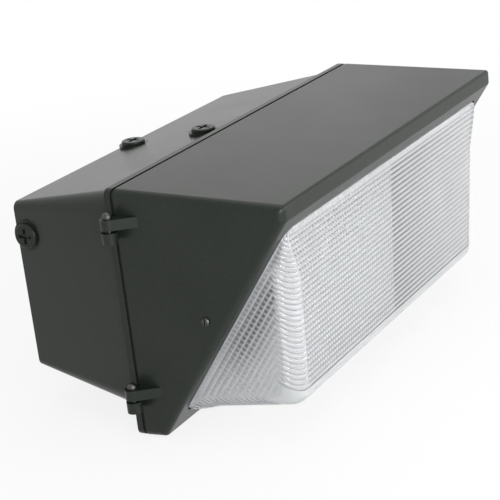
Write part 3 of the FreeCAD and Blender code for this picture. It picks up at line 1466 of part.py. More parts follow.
def socket_lead(name, side):
    """From the socket's side through the reflector's bushing and across to one of the ballast's coils."""
    exit_x = lead_exit.value
    across = side * S.lead_spacing.value / 2
    socket_rear = -(S.lamp_forward.value - S.socket_radius.value)
    start = socket_rear - S.socket_lead_depth.value + S.lead_start_gap.value
    coil_face = S.ballast_centre.value + (S.coil_spacing.value + S.coil_length.value) / 2
    coil_face += S.lead_end_gap.value
    coil_height = side * (S.core_stack.value + S.core_window.value) / 2
    middle = -ballast_middle.value
    return lead(f"socket_lead_{name}", [
        (exit_x, start, across),
        (exit_x + 1, start + 17, across),
        (exit_x, start + 35, across),
        (exit_x, -69, across),
        (106, -64, side * 5),
        (54, -69, side * 12),
        (4, -63, side * 20),
        (-27, -52, side * 28),
        (coil_face, middle, coil_height),
    ])


def capacitor_lead(name, way):
    """From one of the can's blades, up and over to the ballast's coils."""
    blade = S.capacitor_centre.value + way * S.terminal_spacing.value / 2
    top = S.capacitor_height.value / 2 - S.can_lid_drop.value + S.terminal_height.value + S.lead_end_gap.value
    coil_top = S.core_stack.value / 2 + S.core_window.value + S.lead_end_gap.value
    coil = S.ballast_centre.value + way * S.coil_spacing.value / 2
    depth = -capacitor_depth.value
    return lead(f"capacitor_lead_{name}", [
        (blade, depth, top),
        (blade - 3, depth - way, top + 22),
        (blade - 34, depth - 4 - way * 4, top + 19),
        (blade - 84, depth + 2 - way * 4, top + 23),
        (coil + 20, depth - 4 - way * 4, top + 18),
        (coil, -ballast_middle.value, coil_top),
    ])


def check(parts):
    """Stop if any feature failed, or if a cut took nothing away."""
    for item in doc.Objects:
        if {"Invalid", "Error"} & set(item.State):
            raise RuntimeError(f"{item.Label} of {item.TypeId} failed: {item.State}")
        if re.search("Pocket|Groove|Subtractive|Hole", item.TypeId):
            if not item.Shape.Volume < item.BaseFeature.Shape.Volume - LEAST_CUT:
                raise RuntimeError(f"{item.Label} cut nothing")
    for part in parts:
        if part.Shape.isNull() or not part.Shape.isValid():
            raise RuntimeError(f"{part.Label} has no sound shape")


parts = [
    back_housing(), door_frame(), refractor(), refractor_gasket(), refractor_clips(),
    refractor_clip_screws(), door_gasket(), reflector(), reflector_screws(), lamp_envelope(), lamp_base(),
    arc_tube(), arc_tube_frame(), lamp_socket(), socket_shell(), socket_contact(), socket_bracket(),
    socket_screws(), bracket_screws(), lead_bushing(), ballast_core(), ballast_coils(),
    ballast_bracket(), ballast_screws(), capacitor(), capacitor_clamp(), clamp_screw(), igniter(),
    igniter_screw(), ground_screw(),
]
for name in ARM_TOPS:
    parts += [hinge_pin(name), captive_screw(name), screw_retainer(name)]
for name, side in (("left", -1), ("right", 1)):
    parts.append(door_side_screw(name, side))
for name, entry in zip(("top_rear", "top_front", "left", "right"), entry_seats()):
    parts.append(conduit_plug(name, entry))
for name, side in (("black", 1), ("white", -1)):
    parts.append(socket_lead(name, side))
for name, way in (("near", 1), ("far", -1)):
    parts.append(capacitor_lead(name, way))

doc.recompute()
check(parts)
os.makedirs("parts", exist_ok=True)
for part in parts:
    part.Shape.exportStep(f"parts/{part.Label}.step")
    print(f"{part.Label}: {len(part.Shape.Solids)} solids, {part.Shape.Volume / 1000:.1f} cm3")
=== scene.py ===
# %% [markdown]
# This lesson dresses a wall pack light: a wide outdoor light with a cast body, a hinged door and a thick
# pressed glass. Every part arrives as a finished model, and most parts only need a finish. The glass carries
# hundreds of small prisms, which are quicker to shape with loops of code than with solids, so it is built here
# and stands in for the plain one. The first step loads the model and notes the box that it fills.

# %% Load the model
import json
import math

import bmesh
import bpy
import numpy as np
from mathutils import Matrix, Vector


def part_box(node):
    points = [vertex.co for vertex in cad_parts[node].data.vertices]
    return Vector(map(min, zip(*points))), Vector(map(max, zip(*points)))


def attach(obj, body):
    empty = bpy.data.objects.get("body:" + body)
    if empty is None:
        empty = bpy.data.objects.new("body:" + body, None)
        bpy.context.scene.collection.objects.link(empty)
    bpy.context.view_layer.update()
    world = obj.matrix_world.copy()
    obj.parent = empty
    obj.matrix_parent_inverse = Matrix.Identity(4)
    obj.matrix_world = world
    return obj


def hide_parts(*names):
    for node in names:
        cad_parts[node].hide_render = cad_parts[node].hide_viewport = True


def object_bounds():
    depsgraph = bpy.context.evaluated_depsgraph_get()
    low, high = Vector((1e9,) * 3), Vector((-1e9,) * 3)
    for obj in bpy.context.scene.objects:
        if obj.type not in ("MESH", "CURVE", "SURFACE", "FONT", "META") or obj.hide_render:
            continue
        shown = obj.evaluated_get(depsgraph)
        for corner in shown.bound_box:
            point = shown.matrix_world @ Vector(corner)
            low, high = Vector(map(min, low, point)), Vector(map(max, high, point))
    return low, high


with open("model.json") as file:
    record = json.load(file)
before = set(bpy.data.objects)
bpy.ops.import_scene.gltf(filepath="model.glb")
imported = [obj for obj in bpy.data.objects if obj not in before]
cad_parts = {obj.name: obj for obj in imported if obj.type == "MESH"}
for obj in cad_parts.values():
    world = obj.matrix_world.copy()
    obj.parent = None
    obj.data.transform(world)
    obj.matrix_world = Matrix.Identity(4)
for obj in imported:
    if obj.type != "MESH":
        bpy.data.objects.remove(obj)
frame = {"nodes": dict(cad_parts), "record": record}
model_low, model_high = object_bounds()
nodes = frame["nodes"]
print(f"{len(nodes)} nodes, box from {tuple(model_low)} to {tuple(model_high)}")

# %% [markdown]
# The photograph was taken with a long lens, from the light's left and a little above it. A constraint that
# follows a target could aim the camera, but the picture leans a little, and that would take a second step. So
# the camera's three directions are worked out: forwards from a heading and a dip, then right and up, both
# turned by the lean. All three angles are in radians.

# %% The camera
CAMERA_PLACE = Vector((-1.21584, -0.87877, 0.47129))
HEADING, DIP, LEAN = 1.0174, -0.334, -0.1157
FOCAL_PIXELS, FRAME_PIXELS, FILM_WIDTH = 1511.16, 500, 36.0
FAR_LIMIT = 20

forwards = Vector((math.sin(HEADING) * math.cos(DIP), math.cos(HEADING) * math.cos(DIP), math.sin(DIP)))
level_right = forwards.cross(Vector((0, 0, 1))).normalized()
level_up = level_right.cross(forwards)
right = math.cos(LEAN) * level_right + math.sin(LEAN) * level_up
up = -math.sin(LEAN) * level_right + math.cos(LEAN) * level_up

camera_data = bpy.data.cameras.new("camera")
camera_data.sensor_width = FILM_WIDTH
camera_data.lens = FOCAL_PIXELS * FILM_WIDTH / FRAME_PIXELS
camera_data.clip_end = FAR_LIMIT
camera = bpy.data.objects.new("camera", camera_data)
camera.matrix_world = Matrix.Translation(CAMERA_PLACE) @ Matrix((right, up, -forwards)).transposed().to_4x4()
bpy.context.scene.collection.objects.link(camera)
bpy.context.scene.camera = camera
print(f"lens {camera_data.lens:.1f} mm")

# %% [markdown]
# A finish is a small network of nodes. It could be wired by hand, node by node, but its sums are easier to read
# as plain Python. So one class holds a value inside the network, and adds a Math node whenever the value takes
# part in a sum. A second class holds the network and adds every other node. Colours are mixed with Mix nodes,
# because a Math node would turn them grey.

# %% Values that add up inside a finish
class Strand:
    """One value inside a network. A sum on it adds the Math node that the sum needs."""

    def __init__(self, network, socket):
        self.network = network
        self.socket = socket

    def sum(self, operation, *values):
        node = self.network.tree.nodes.new("ShaderNodeMath")
        node.operation = operation
        for socket, value in zip(node.inputs, values):
            self.network.feed(socket, value)
        return Strand(self.network, node.outputs[0])

    def __add__(self, other):
        return self.sum("ADD", self, other)

    def __radd__(self, other):
        return self.sum("ADD", other, self)

    def __sub__(self, other):
        return self.sum("SUBTRACT", self, other)

    def __rsub__(self, other):
        return self.sum("SUBTRACT", other, self)

    def __mul__(self, other):
        return self.sum("MULTIPLY", self, other)

    def __rmul__(self, other):
        return self.sum("MULTIPLY", other, self)

    def __gt__(self, other):
        return self.sum("GREATER_THAN", self, other)

    def either(self, other):
        """The larger of two values, so 1 where either of two yes-or-no values is 1."""
        return self.sum("MAXIMUM", self, other)

    def wave(self):
        """A smooth wave from 0 to 1 that repeats once for every whole number."""
        return 0.5 + 0.5 * self.sum("SINE", self * math.tau)


print("values can be added, multiplied and compared")

# %% [markdown]
# The network class below has one method for every kind of node. Noise sizes are given in metres and measured on
# the piece itself, so a grain is as fine on a screw as on the door, and no piece has to be unwrapped. Each
# finished material is kept under the name of the slot that it is for.

# %% The network of a finish
class Network:
    """The nodes inside a material or the world, and the shader that they feed."""

    def __init__(self, tree, shader):
        self.tree = tree
        self.shader = tree.nodes[shader]

    def feed(self, socket, value):
        if isinstance(value, Strand):
            self.tree.links.new(value.socket, socket)
        else:
            socket.default_value = value

    def set(self, socket, value):
        """Gives one of the shader's own sockets a value or a strand."""
        self.feed(self.shader.inputs[socket.replace("_", " ")], value)

    def add(self, kind, settings=None, out=0, **sockets):
        """Adds one node: its settings first, then the values or strands of its sockets."""
        node = self.tree.nodes.new("ShaderNode" + kind)
        for name, value in (settings or {}).items():
            setattr(node, name, value)
        for name, value in sockets.items():
            words = name.replace("_", " ")
            socket = next(s for s in node.inputs if s.enabled and (s.identifier == name or s.name == words))
            self.feed(socket, value)
        shown = [s for s in node.outputs if s.enabled]
        return Strand(self, shown[out] if isinstance(out, int) else node.outputs[out])

    def place(self):
        """Where a point is on the piece, in metres."""
        return self.add("TexCoord", out="Object")

    def grain(self, size, detail=3.0, at=None):
        """Soft noise from 0 to 1 whose blotches are about this many metres across."""
        return self.add("TexNoise", Vector=at or self.place(), Scale=1 / size, Detail=detail)

    def blend(self, share, first, second):
        """A colour between two others: the first at a share of 0, and the second at 1."""
        return self.add("Mix", {"data_type": "RGBA"}, Factor=share, A=first, B=second)

    def bump(self, height, depth, strength):
        """Raises the surface by the height strand, times a depth in metres."""
        self.set("Normal", self.add("Bump", Height=height, Distance=depth, Strength=strength))


class Finish(Network):
    """A material, with the values that stay the same all over it."""

    def __init__(self, name, **fixed):
        self.material = bpy.data.materials.new(name)
        self.material.use_nodes = True
        super().__init__(self.material.node_tree, "Principled BSDF")
        for socket, value in fixed.items():
            self.set(socket, value)


def grey(level, warmth=0.0):
    """A nearly neutral colour, made a little warmer by a positive warmth."""
    return (level * (1 + warmth), level, level * (1 - warmth), 1)


def scaled(colour, factor, lift=0.0):
    """A paler version of a colour."""
    return tuple(min(1.0, channel * factor + lift) for channel in colour[:3]) + (1,)


FINISHES = {}


def keep_finish(slot, finish):
    FINISHES[slot] = finish.material
    print(f"{slot}: {finish.material.name}, {len(finish.tree.nodes)} nodes")


# %% [markdown]
# The body and the door are die-cast and covered in dark bronze powder coat. Powder flows out into a satin skin
# with a fine orange peel and tiny pale flecks, and it is never quite even: some broad patches are a touch paler
# and duller. A painted image would work too, but noise keeps its scale on every part.

# %% Dark bronze powder coat
DEEP_BRONZE, PALE_BRONZE = (0.0085, 0.0125, 0.009, 1), (0.0145, 0.0185, 0.0145, 1)
FLECK_COLOUR, FLECK_LEVEL, FLECK_SHARE = (0.045, 0.048, 0.042, 1), 0.62, 0.5
PEEL_SIZE, PATCH_SIZE, FLECK_SIZE = 0.0011, 0.06, 0.00045


def powder_coat():
    coat = Finish("dark_bronze_powder_coat", Specular_IOR_Level=0.22, IOR=1.5)
    peel = coat.grain(PEEL_SIZE, detail=2.0)
    patches = coat.grain(PATCH_SIZE, detail=4.0)
    flecks = coat.grain(FLECK_SIZE, detail=1.0)
    tone = coat.blend(patches, DEEP_BRONZE, PALE_BRONZE)
    coat.set("Base_Color", coat.blend((flecks > FLECK_LEVEL) * FLECK_SHARE, tone, FLECK_COLOUR))
    coat.set("Roughness", 0.25 + 0.07 * patches + 0.05 * flecks)
    coat.bump(peel + 0.5 * flecks, depth=0.0001, strength=0.8)
    return coat


keep_finish("cast_finish", powder_coat())

# %% [markdown]
# Small steel pieces are zinc plated: a bright metal with a faint yellow cast and tiny crystals. The pins and
# screws that show outside are blackened. The lamp's base is nickel plated and the ground screw is dyed green.
# All of them come from one function, so that they look like one family, and only their two colours, their
# roughness and the size of their crystals differ.

# %% Plated steel
PLATINGS = {
    "zinc_steel": ("zinc_plated_steel", (0.42, 0.42, 0.40, 1), (0.62, 0.62, 0.60, 1), 0.25, 0.0008),
    "bright_pin": ("blackened_steel", (0.04, 0.04, 0.04, 1), (0.11, 0.11, 0.11, 1), 0.30, 0.0006),
    "nickel_base": ("nickel_plated_brass", (0.50, 0.45, 0.34, 1), (0.66, 0.61, 0.50, 1), 0.22, 0.001),
    "green_steel": ("green_dyed_steel", (0.02, 0.16, 0.05, 1), (0.06, 0.30, 0.11, 1), 0.3, 0.0008),
}


def plated_metal(name, dark, light, roughness, crystal):
    metal = Finish(name, Metallic=1.0)
    cells = metal.add("TexVoronoi", {"feature": "F1"}, out="Color", Vector=metal.place(), Scale=1 / crystal)
    shade = metal.add("SeparateColor", Color=cells)
    smears = metal.grain(9 * crystal, detail=4.0)
    metal.set("Base_Color", metal.blend(0.6 * shade + 0.4 * smears, dark, light))
    metal.set("Roughness", roughness + 0.12 * shade + 0.10 * smears)
    metal.bump(metal.grain(crystal / 2), depth=crystal / 50, strength=0.4)
    return metal


for slot, plating in PLATINGS.items():
    keep_finish(slot, plated_metal(*plating))

# %% [markdown]
# The reflector is bright aluminium sheet with fine lines along its roll. The capacitor's can is drawn from the
# same metal, so its lines run up the can. Noise that is stretched along one direction gives both kinds of line.

# %% Rolled and drawn aluminium
ROLLED_STRETCH, DRAWN_STRETCH = (6.0, 900.0, 900.0), (500.0, 500.0, 8.0)
DENT_SIZE = 0.035


def rolled_reflector():
    sheet = Finish("bright_rolled_aluminium", Metallic=1.0)
    lines = sheet.grain(1.0, at=sheet.add("Mapping", Vector=sheet.place(), Scale=ROLLED_STRETCH))
    dents = sheet.grain(DENT_SIZE, detail=2.0)
    sheet.set("Base_Color", sheet.blend(lines, grey(0.74, 0.003), grey(0.88)))
    sheet.set("Roughness", 0.24 + 0.16 * lines)
    sheet.bump(dents + 0.05 * lines, depth=0.0012, strength=0.6)
    return sheet


def drawn_can():
    can = Finish("drawn_aluminium_can", Metallic=1.0)
    lines = can.grain(1.0, at=can.add("Mapping", Vector=can.place(), Scale=DRAWN_STRETCH))
    can.set("Base_Color", can.blend(lines, grey(0.55), grey(0.74)))
    can.set("Roughness", 0.26 + 0.18 * lines)
    can.bump(lines, depth=0.00004, strength=0.5)
    return can


keep_finish("bright_reflector", rolled_reflector())
keep_finish("can_metal", drawn_can())

# %% [markdown]
# Rubber seals and sleeved leads are dull and slightly dusty, so one function makes them all from a colour and
# an amount of dust. Porcelain is the opposite: a clear glaze over a body with fine iron specks. Potted plastic
# sits between them.

# %% Rubber, sleeving, porcelain and plastic
RUBBERS = {
    "seal_rubber": ("seal_rubber", (0.012, 0.012, 0.012, 1), 0.25),
    "lead_black": ("black_sleeving", (0.014, 0.014, 0.014, 1), 0.15),
    "lead_white": ("white_sleeving", (0.62, 0.62, 0.59, 1), 0.3),
    "lead_brown": ("brown_sleeving", (0.10, 0.035, 0.015, 1), 0.2),
}
CLAY_DARK, CLAY_PALE, SPECK_COLOUR = (0.78, 0.76, 0.70, 1), (0.86, 0.85, 0.80, 1), (0.35, 0.25, 0.16, 1)
SPECK_SIZE, SPECK_LEVEL, SPECK_SHARE = 0.0009, 0.73, 0.5
POTTED_BLACK = (0.016, 0.016, 0.018, 1)


def dull_rubber(name, colour, dust):
    rubber = Finish(name, Specular_IOR_Level=0.35)
    bloom = rubber.grain(0.004, detail=5.0)
    rubber.set("Base_Color", rubber.blend(bloom * dust, colour, scaled(colour, 1.6, 0.02)))
    rubber.set("Roughness", 0.62 + 0.22 * bloom)
    rubber.bump(rubber.grain(0.0006), depth=0.00008, strength=0.5)
    return rubber


def glazed_porcelain():
    glaze = Finish("glazed_porcelain", Coat_Weight=0.8, Coat_Roughness=0.06)
    specks = glaze.grain(SPECK_SIZE, detail=1.0) > SPECK_LEVEL
    cloud = glaze.grain(0.02)
    clay = glaze.blend(cloud, CLAY_DARK, CLAY_PALE)
    glaze.set("Base_Color", glaze.blend(specks * SPECK_SHARE, clay, SPECK_COLOUR))
    glaze.set("Roughness", 0.25 + 0.1 * cloud)
    glaze.bump(glaze.grain(0.006), depth=0.00015, strength=0.4)
    return glaze


def potted_plastic():
    plastic = Finish("potted_black_plastic")
    texture = plastic.grain(0.0007, detail=2.0)
    flow = plastic.grain(0.03)
    plastic.set("Base_Color", plastic.blend(flow, POTTED_BLACK, scaled(POTTED_BLACK, 1.35)))
    plastic.set("Roughness", 0.38 + 0.12 * texture)
    plastic.bump(texture, depth=0.00006, strength=0.5)
    return plastic


for slot, rubber in RUBBERS.items():
    keep_finish(slot, dull_rubber(*rubber))
keep_finish("white_porcelain", glazed_porcelain())
keep_finish("black_plastic", potted_plastic())

# %% [markdown]
# The glass is thick pressed soda glass with a cold blue-white cast. Its prisms scatter the light so much that
# it looks milky, so about a quarter of the light is scattered in the finish and the rest passes through. The
# prisms are real shapes in the mesh. The finish adds the faint ripple that a mould leaves, and painted shade
# where two prisms meet, standing in for the light that they bend away. Each point of the mesh carries a number
# for that painted shade: 1 is darkest, and 0 is clear. The lamp's bulb is blown, so it is thin, clear and
# faintly streaked.

# %% Pressed and blown glass
# The last colour is painted shade, laid where two prisms meet in place of the light that they bend away.
COLD_GLASS, PALE_GLASS, GROOVE_PAINTED_SHADE = (0.955, 0.975, 0.995, 1), (0.975, 0.99, 1.0, 1), (0.015, 0.018, 0.021, 1)
SEED_SIZE, SEED_LEVEL = 0.0015, 0.75


def pressed_glass():
    glass = Finish("pressed_glass", Transmission_Weight=0.72, IOR=1.5)
    ripple = glass.grain(0.006)
    seeds = glass.grain(SEED_SIZE) > SEED_LEVEL
    painted_shade = glass.add("Attribute", {"attribute_name": "painted_shade"}, out="Fac")
    clear = glass.blend(ripple, COLD_GLASS, PALE_GLASS)
    # Painted shade: the glass turns to the dark colour wherever the mesh's number for painted shade is high.
    glass.set("Base_Color", glass.blend(painted_shade, clear, GROOVE_PAINTED_SHADE))
    glass.set("Roughness", 0.02 + 0.02 * ripple + 0.1 * seeds)
    glass.bump(ripple, depth=0.00004, strength=0.3)
    return glass


def blown_glass():
    glass = Finish("blown_glass", Transmission_Weight=1.0, IOR=1.47)
    streaks = glass.grain(0.03)
    glass.set("Base_Color", glass.blend(streaks, (0.95, 0.96, 0.96, 1), (1, 1, 1, 1)))
    glass.set("Roughness", 0.01 + 0.03 * streaks)
    return glass


keep_finish("pressed_glass", pressed_glass())
keep_finish("clear_glass", blown_glass())

# %% [markdown]
# Behind the reflector sits the ballast. Its core is a stack of thin steel sheets dipped in varnish, and its
# windings are many turns of varnished copper wire. Both show fine even lines. Modelling every sheet and turn
# would cost far more faces than they are worth in there, so a wave in the finish draws and raises the lines.

# %% The ballast's sheets and wires
SHEET_PITCH, WIRE_PITCH = 0.0007, 0.0013
VARNISH_DARK, VARNISH_PALE = (0.018, 0.016, 0.014, 1), (0.075, 0.065, 0.055, 1)
COPPER_DARK, COPPER_PALE = (0.16, 0.05, 0.017, 1), (0.54, 0.21, 0.08, 1)


def even_lines(finish, direction, pitch):
    """A wave across one direction of the piece, with a crest at every pitch."""
    return (finish.add("SeparateXYZ", out=direction, Vector=finish.place()) * (1 / pitch)).wave()


def varnished_core():
    core = Finish("varnished_laminations", Specular_IOR_Level=0.5)
    sheets = even_lines(core, "Z", SHEET_PITCH)
    drips = core.grain(0.012, detail=4.0)
    core.set("Base_Color", core.blend(sheets * 0.5 + drips * 0.4, VARNISH_DARK, VARNISH_PALE))
    core.set("Roughness", 0.28 + 0.25 * drips)
    core.bump(sheets, depth=0.0001, strength=0.6)
    return core


def varnished_copper():
    copper = Finish("varnished_copper", Metallic=0.7)
    wires = even_lines(copper, "X", WIRE_PITCH)
    streaks = copper.grain(0.008, detail=4.0)
    copper.set("Base_Color", copper.blend(wires * 0.6 + streaks * 0.4, COPPER_DARK, COPPER_PALE))
    copper.set("Roughness", 0.25 + 0.2 * streaks)
    copper.bump(wires, depth=0.0004, strength=0.8)
    return copper


keep_finish("laminated_steel", varnished_core())
keep_finish("copper_coil", varnished_copper())

# %% [markdown]
# Every part of the model names the slot that its finish comes from, so one loop dresses them all. Only the two
# small screws in the door's ends are changed: on the real light they are as dark as the hinge pins.

# %% Dress every part of the model
for part in frame["record"]["subparts"]:
    outside_screw = part["node"].startswith("door_side_screw")
    mesh = nodes[part["node"]].data
    mesh.materials.clear()
    mesh.materials.append(FINISHES["bright_pin" if outside_screw else part["material_slot"]])
print(f"{len(FINISHES)} finishes on {len(nodes)} nodes")

# %% [markdown]
# The glass is the light's most telling piece. Seen from the side it is a wedge: a front that leans out from
# the rim to a rounded foot, and an underside that runs back. The gasket under it lies flat on the slanted rim,
# so the gasket's largest flat face gives the direction in which the glass stands out. Places on the glass are
# then kept as three distances: across, up the slope and out from the rim.

# %% The slanted rim's own directions
def main_direction(node):
    """The direction that most of a flat piece's surface faces, turned towards the floor."""
    areas = {}
    for face in nodes[node].data.polygons:
        direction = tuple(round(part, 3) for part in face.normal)
        areas[direction] = areas.get(direction, 0) + face.area
    normal = Vector(max(areas, key=areas.get)).normalized()
    return normal if normal.z < 0 else -normal


ACROSS = Vector((1, 0, 0))
RIM_OUT = main_direction("refractor_gasket")
RIM_UP = RIM_OUT.cross(ACROSS).normalized()
HEM_WIDTH, HEM_THICKNESS, HEM_DEPTH = 0.009, 0.005, 0.010

glass_points = [vertex.co for vertex in nodes["refractor"].data.vertices]
places_up = [point.dot(RIM_UP) for point in glass_points]
places_out = [point.dot(RIM_OUT) for point in glass_points]
slope_length = max(places_up) - min(places_up) - 2 * HEM_WIDTH
glass_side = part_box("refractor")[1].x - HEM_WIDTH
glass_origin = RIM_UP * (min(places_up) + HEM_WIDTH) + RIM_OUT * (min(places_out) + HEM_DEPTH)
print(f"the glass is {2 * glass_side:.3f} m across and {slope_length:.3f} m up the slope")

# %% [markdown]
# One outline serves both faces of the glass: the outer face follows it, and the inner face follows the same
# outline moved in by the wall. It could be drawn as a curve, but it has only two straight runs and one arc. So
# it is given by a few points, with the direction in which the surface faces at each, and it can be read off at
# any distance along it.

# %% The wedge seen from the side
GLASS_WALL, FOOT_RADIUS, PLAN_RADIUS, ARC_STEPS = 0.005, 0.012, 0.012, 10
FOOT_UP, REACH, DRAFT = 0.075, 0.0855, 0.008
HIGH, FOOT, LOW = Vector((slope_length, 0)), Vector((FOOT_UP, REACH)), Vector((0, 0))


class Outline:
    """The wedge's side view, moved in by an inset and read by the distance along it."""

    def __init__(self, inset):
        front, under = (FOOT - HIGH).normalized(), (LOW - FOOT).normalized()
        ways = [Vector((run.y, -run.x)) for run in (front, under)]
        half_turn = front.angle(under) / 2
        middle_way = (ways[0] + ways[1]).normalized()
        radius = FOOT_RADIUS - inset
        centre = FOOT - middle_way * ((inset + radius) / math.cos(half_turn))
        start = HIGH - ways[0] * inset
        start += front * ((slope_length - inset - start.x) / front.x)
        end = LOW - ways[1] * inset
        end += under * ((inset - end.x) / under.x)
        turns = [ways[0].slerp(ways[1], number / ARC_STEPS) for number in range(ARC_STEPS + 1)]
        self.places = np.array([start, *[centre + way * radius for way in turns], end])
        self.ways = np.array([ways[0], *turns, ways[1]])
        steps = np.linalg.norm(np.diff(self.places, axis=0), axis=1)
        self.along = np.concatenate([[0], np.cumsum(steps)])
        self.front, self.under, self.length = self.along[1], self.along[-2], self.along[-1]

    def read(self, table, distances):
        return [np.interp(distances, self.along, column) for column in table.T]

    def clear_of_foot(self, distances):
        """How far each distance lies before or after the foot's arc."""
        return np.maximum(self.front - distances, distances - self.under).clip(0)


outer, inner = Outline(0), Outline(GLASS_WALL)
print(f"outer face {outer.length:.3f} m round, its front {outer.front:.3f} m")

# %% [markdown]
# The prisms are what make this glass. Outside, long ribs run across the front and the underside, and slightly
# shallower ones run along the two ends. Inside, upright sawtooth flutes lean one way on the left half and the
# other way on the right, so the two halves catch the light differently, and small ridges line the ends. The
# ribs could be cut with hundreds of tools, but a grid of points that steps up and down makes them all at once.
# Each rib needs only a few rows, at the right distances, so the grids stay small and every edge stays crisp.

# %% Where the ribs and flutes lie
RIB_PITCH, RIB_DEPTH, RIB_SHAPE = 0.00508, 0.0010, (0, 0.25, 0.5, 0.75)
RIM_BAND, FOOT_BAND, ROW_GAP = 0.0055, 0.003, 0.0002
RIM_ROWS = np.array([0, 0.0003, 0.0008, 0.0016, 0.003, RIM_BAND - ROW_GAP])
FOOT_ROWS = ARC_STEPS + 6
FLUTE_PITCH, FLUTE_DEPTH, FLUTE_PEAK = 0.00508, 0.0013, 0.15
END_RIDGE_PITCH = 0.00508


def rib_rows(first, last):
    """Distances and heights of the rows of round ribs between two distances."""
    count = round((last - first) / RIB_PITCH)
    turns = np.array([rib + part for rib in range(count) for part in RIB_SHAPE] + [count])
    heights = RIB_DEPTH * (np.abs(np.sin(np.pi * turns)) - 1)
    return first + turns * (last - first) / count, heights


def outer_rows():
    """Every row of the outer face: plain bands at the rim and the foot, and ribs between them."""
    front = rib_rows(RIM_BAND, outer.front - FOOT_BAND)
    foot = np.linspace(outer.front - FOOT_BAND + ROW_GAP, outer.under + RIM_BAND - ROW_GAP, FOOT_ROWS)
    under = rib_rows(outer.under + RIM_BAND, outer.length - RIM_BAND)
    rows = np.concatenate([RIM_ROWS, front[0], foot, under[0], outer.length - RIM_ROWS[::-1]])
    return rows, np.concatenate([0 * RIM_ROWS, front[1], 0 * foot, under[1], 0 * RIM_ROWS])


def inner_rows():
    """Rows at every crest and valley of the ridges on the two ends."""
    pairs = round(inner.length / (END_RIDGE_PITCH / 2)) // 2
    return np.linspace(0, inner.length, 2 * pairs + 1)


def flute_columns():
    """Shares of the half width, and flute heights, from the middle of the front to its right end."""
    count = round(glass_side / FLUTE_PITCH)
    shares = np.array([flute + part for flute in range(count) for part in (0, FLUTE_PEAK)] + [count]) / count
    return shares, np.array([0, FLUTE_DEPTH] * count + [0])


print(f"{len(outer_rows()[0])} outer rows and {len(inner_rows())} inner rows")
print(f"{len(flute_columns()[0])} inner columns from the middle to one end")

# %% [markdown]
# Each face is one grid, and its left half mirrors its right half. A row starts in the middle, crosses the
# front, bends round the corner and comes down the end to the rim. The ends lean in a little, so the mould can
# let go, and near the top and the bottom of the slope the corners are rounded in plan as well. The front's ribs
# run round the corner at full height and die out on the end, where ribs parallel to the rim take over.

# %% One face of the glass
TOP_LEVEL, RIM_START, WRAP = 0.095, -0.003, 0.006
BEND_RADIUS, BEND_GROWTH, BEND_STEPS = 0.020, 0.8, 11
OUTER_LEVELS = np.arange(0, TOP_LEVEL, RIB_PITCH / 4)
INNER_LEVELS = np.array([RIM_START, 0, 0.002, 0.02, 0.04, 0.06, 0.08, TOP_LEVEL])


def fade(distance, length):
    """0 at the start, and 1 once the distance has reached the length."""
    return np.clip(distance / length, 0, 1)


def half_width(up, inset):
    """Half the glass's width at the rim, less where the plan's corners are rounded."""
    radius = PLAN_RADIUS - inset
    gap = np.clip(np.minimum(up - inset, slope_length - inset - up), 0, radius)
    return glass_side - inset - radius + np.sqrt(radius ** 2 - (radius - gap) ** 2)


def glass_face(outline, inset, rows, ribs, shares, flutes, levels, end_relief):
    """A grid of the distances across, up and out for one face of the glass."""
    up, out = (column[:, None] for column in outline.read(outline.places, rows))
    way_up, way_out = (column[:, None] for column in outline.read(outline.ways, rows))
    ribs, shares = ribs[:, None], shares[None, :]
    bend = np.clip(BEND_GROWTH * (out - levels[0]), 0, BEND_RADIUS - inset)
    top = out - bend
    top_half = half_width(up, inset) - DRAFT * top / REACH - bend

    front = np.minimum(shares * (glass_side - inset - DRAFT * out / REACH - bend), top_half)
    front_lift = ribs - flutes[None, :] * fade(outline.clear_of_foot(rows)[:, None], RIB_PITCH)
    turn = np.linspace(math.pi / 2, 0, BEND_STEPS, endpoint=False)[None, 1:]
    bend_half = top_half + (bend + ribs) * np.cos(turn)
    bend_out = top + bend * np.sin(turn)
    bend_lift = ribs * np.sin(turn)
    end_out = np.minimum(levels[None, ::-1], top)
    end_half = half_width(up, inset) - DRAFT * end_out / REACH - end_relief(end_out, top)
    end_half += ribs * fade(WRAP - (top - end_out), WRAP)

    across = np.hstack([front, bend_half, end_half])
    lift = np.hstack([front_lift, bend_lift, 0 * end_out])
    outs = np.hstack([out + 0 * front, bend_out, end_out])
    half = np.stack([across, up + way_up * lift, outs + way_out * lift], axis=-1)
    return np.hstack([half[:, :0:-1] * (-1, 1, 1), half])


print(f"{len(OUTER_LEVELS)} outer levels and {len(INNER_LEVELS)} inner levels on each end")

# %% [markdown]
# The two ends have prisms of their own. Outside, ribs parallel to the rim start a little above it and stop
# below the corner's bend. Inside, ridges run square to them. Both are given as a depth to take off the end's
# width, so one function can shape either face.

# %% The prisms on the two ends, and both faces
END_RIB_DEPTH, END_RIB_MARGIN, END_RIB_FADE = 0.0009, 0.003, 0.001
END_RIDGE_DEPTH, END_RIDGE_FADE = 0.001, 0.002


def end_ribs(out, top):
    """Ribs along an end of the glass, parallel to the rim."""
    shape = 1 - np.abs(np.sin(np.pi * out / RIB_PITCH))
    return END_RIB_DEPTH * shape * fade(out - END_RIB_MARGIN, END_RIB_FADE) * fade(top - out, WRAP)


def end_ridges(out, top):
    """Small ridges on the inside of an end, square to its ribs: every other row stands in."""
    odd = (np.arange(len(out)) % 2)[:, None]
    return END_RIDGE_DEPTH * odd * fade(out, END_RIDGE_FADE) * fade(top - out, END_RIDGE_FADE)


rows, ribs = outer_rows()
shares = np.linspace(0, 1, 2 * round(glass_side / FLUTE_PITCH) + 1)
outer_grid = glass_face(outer, 0, rows, ribs, shares, 0 * shares, OUTER_LEVELS, end_ribs)
rows = inner_rows()
inner_grid = glass_face(inner, GLASS_WALL, rows, 0 * rows, *flute_columns(), INNER_LEVELS, end_ridges)
print(f"outer grid {outer_grid.shape[:2]}, inner grid {inner_grid.shape[:2]}")
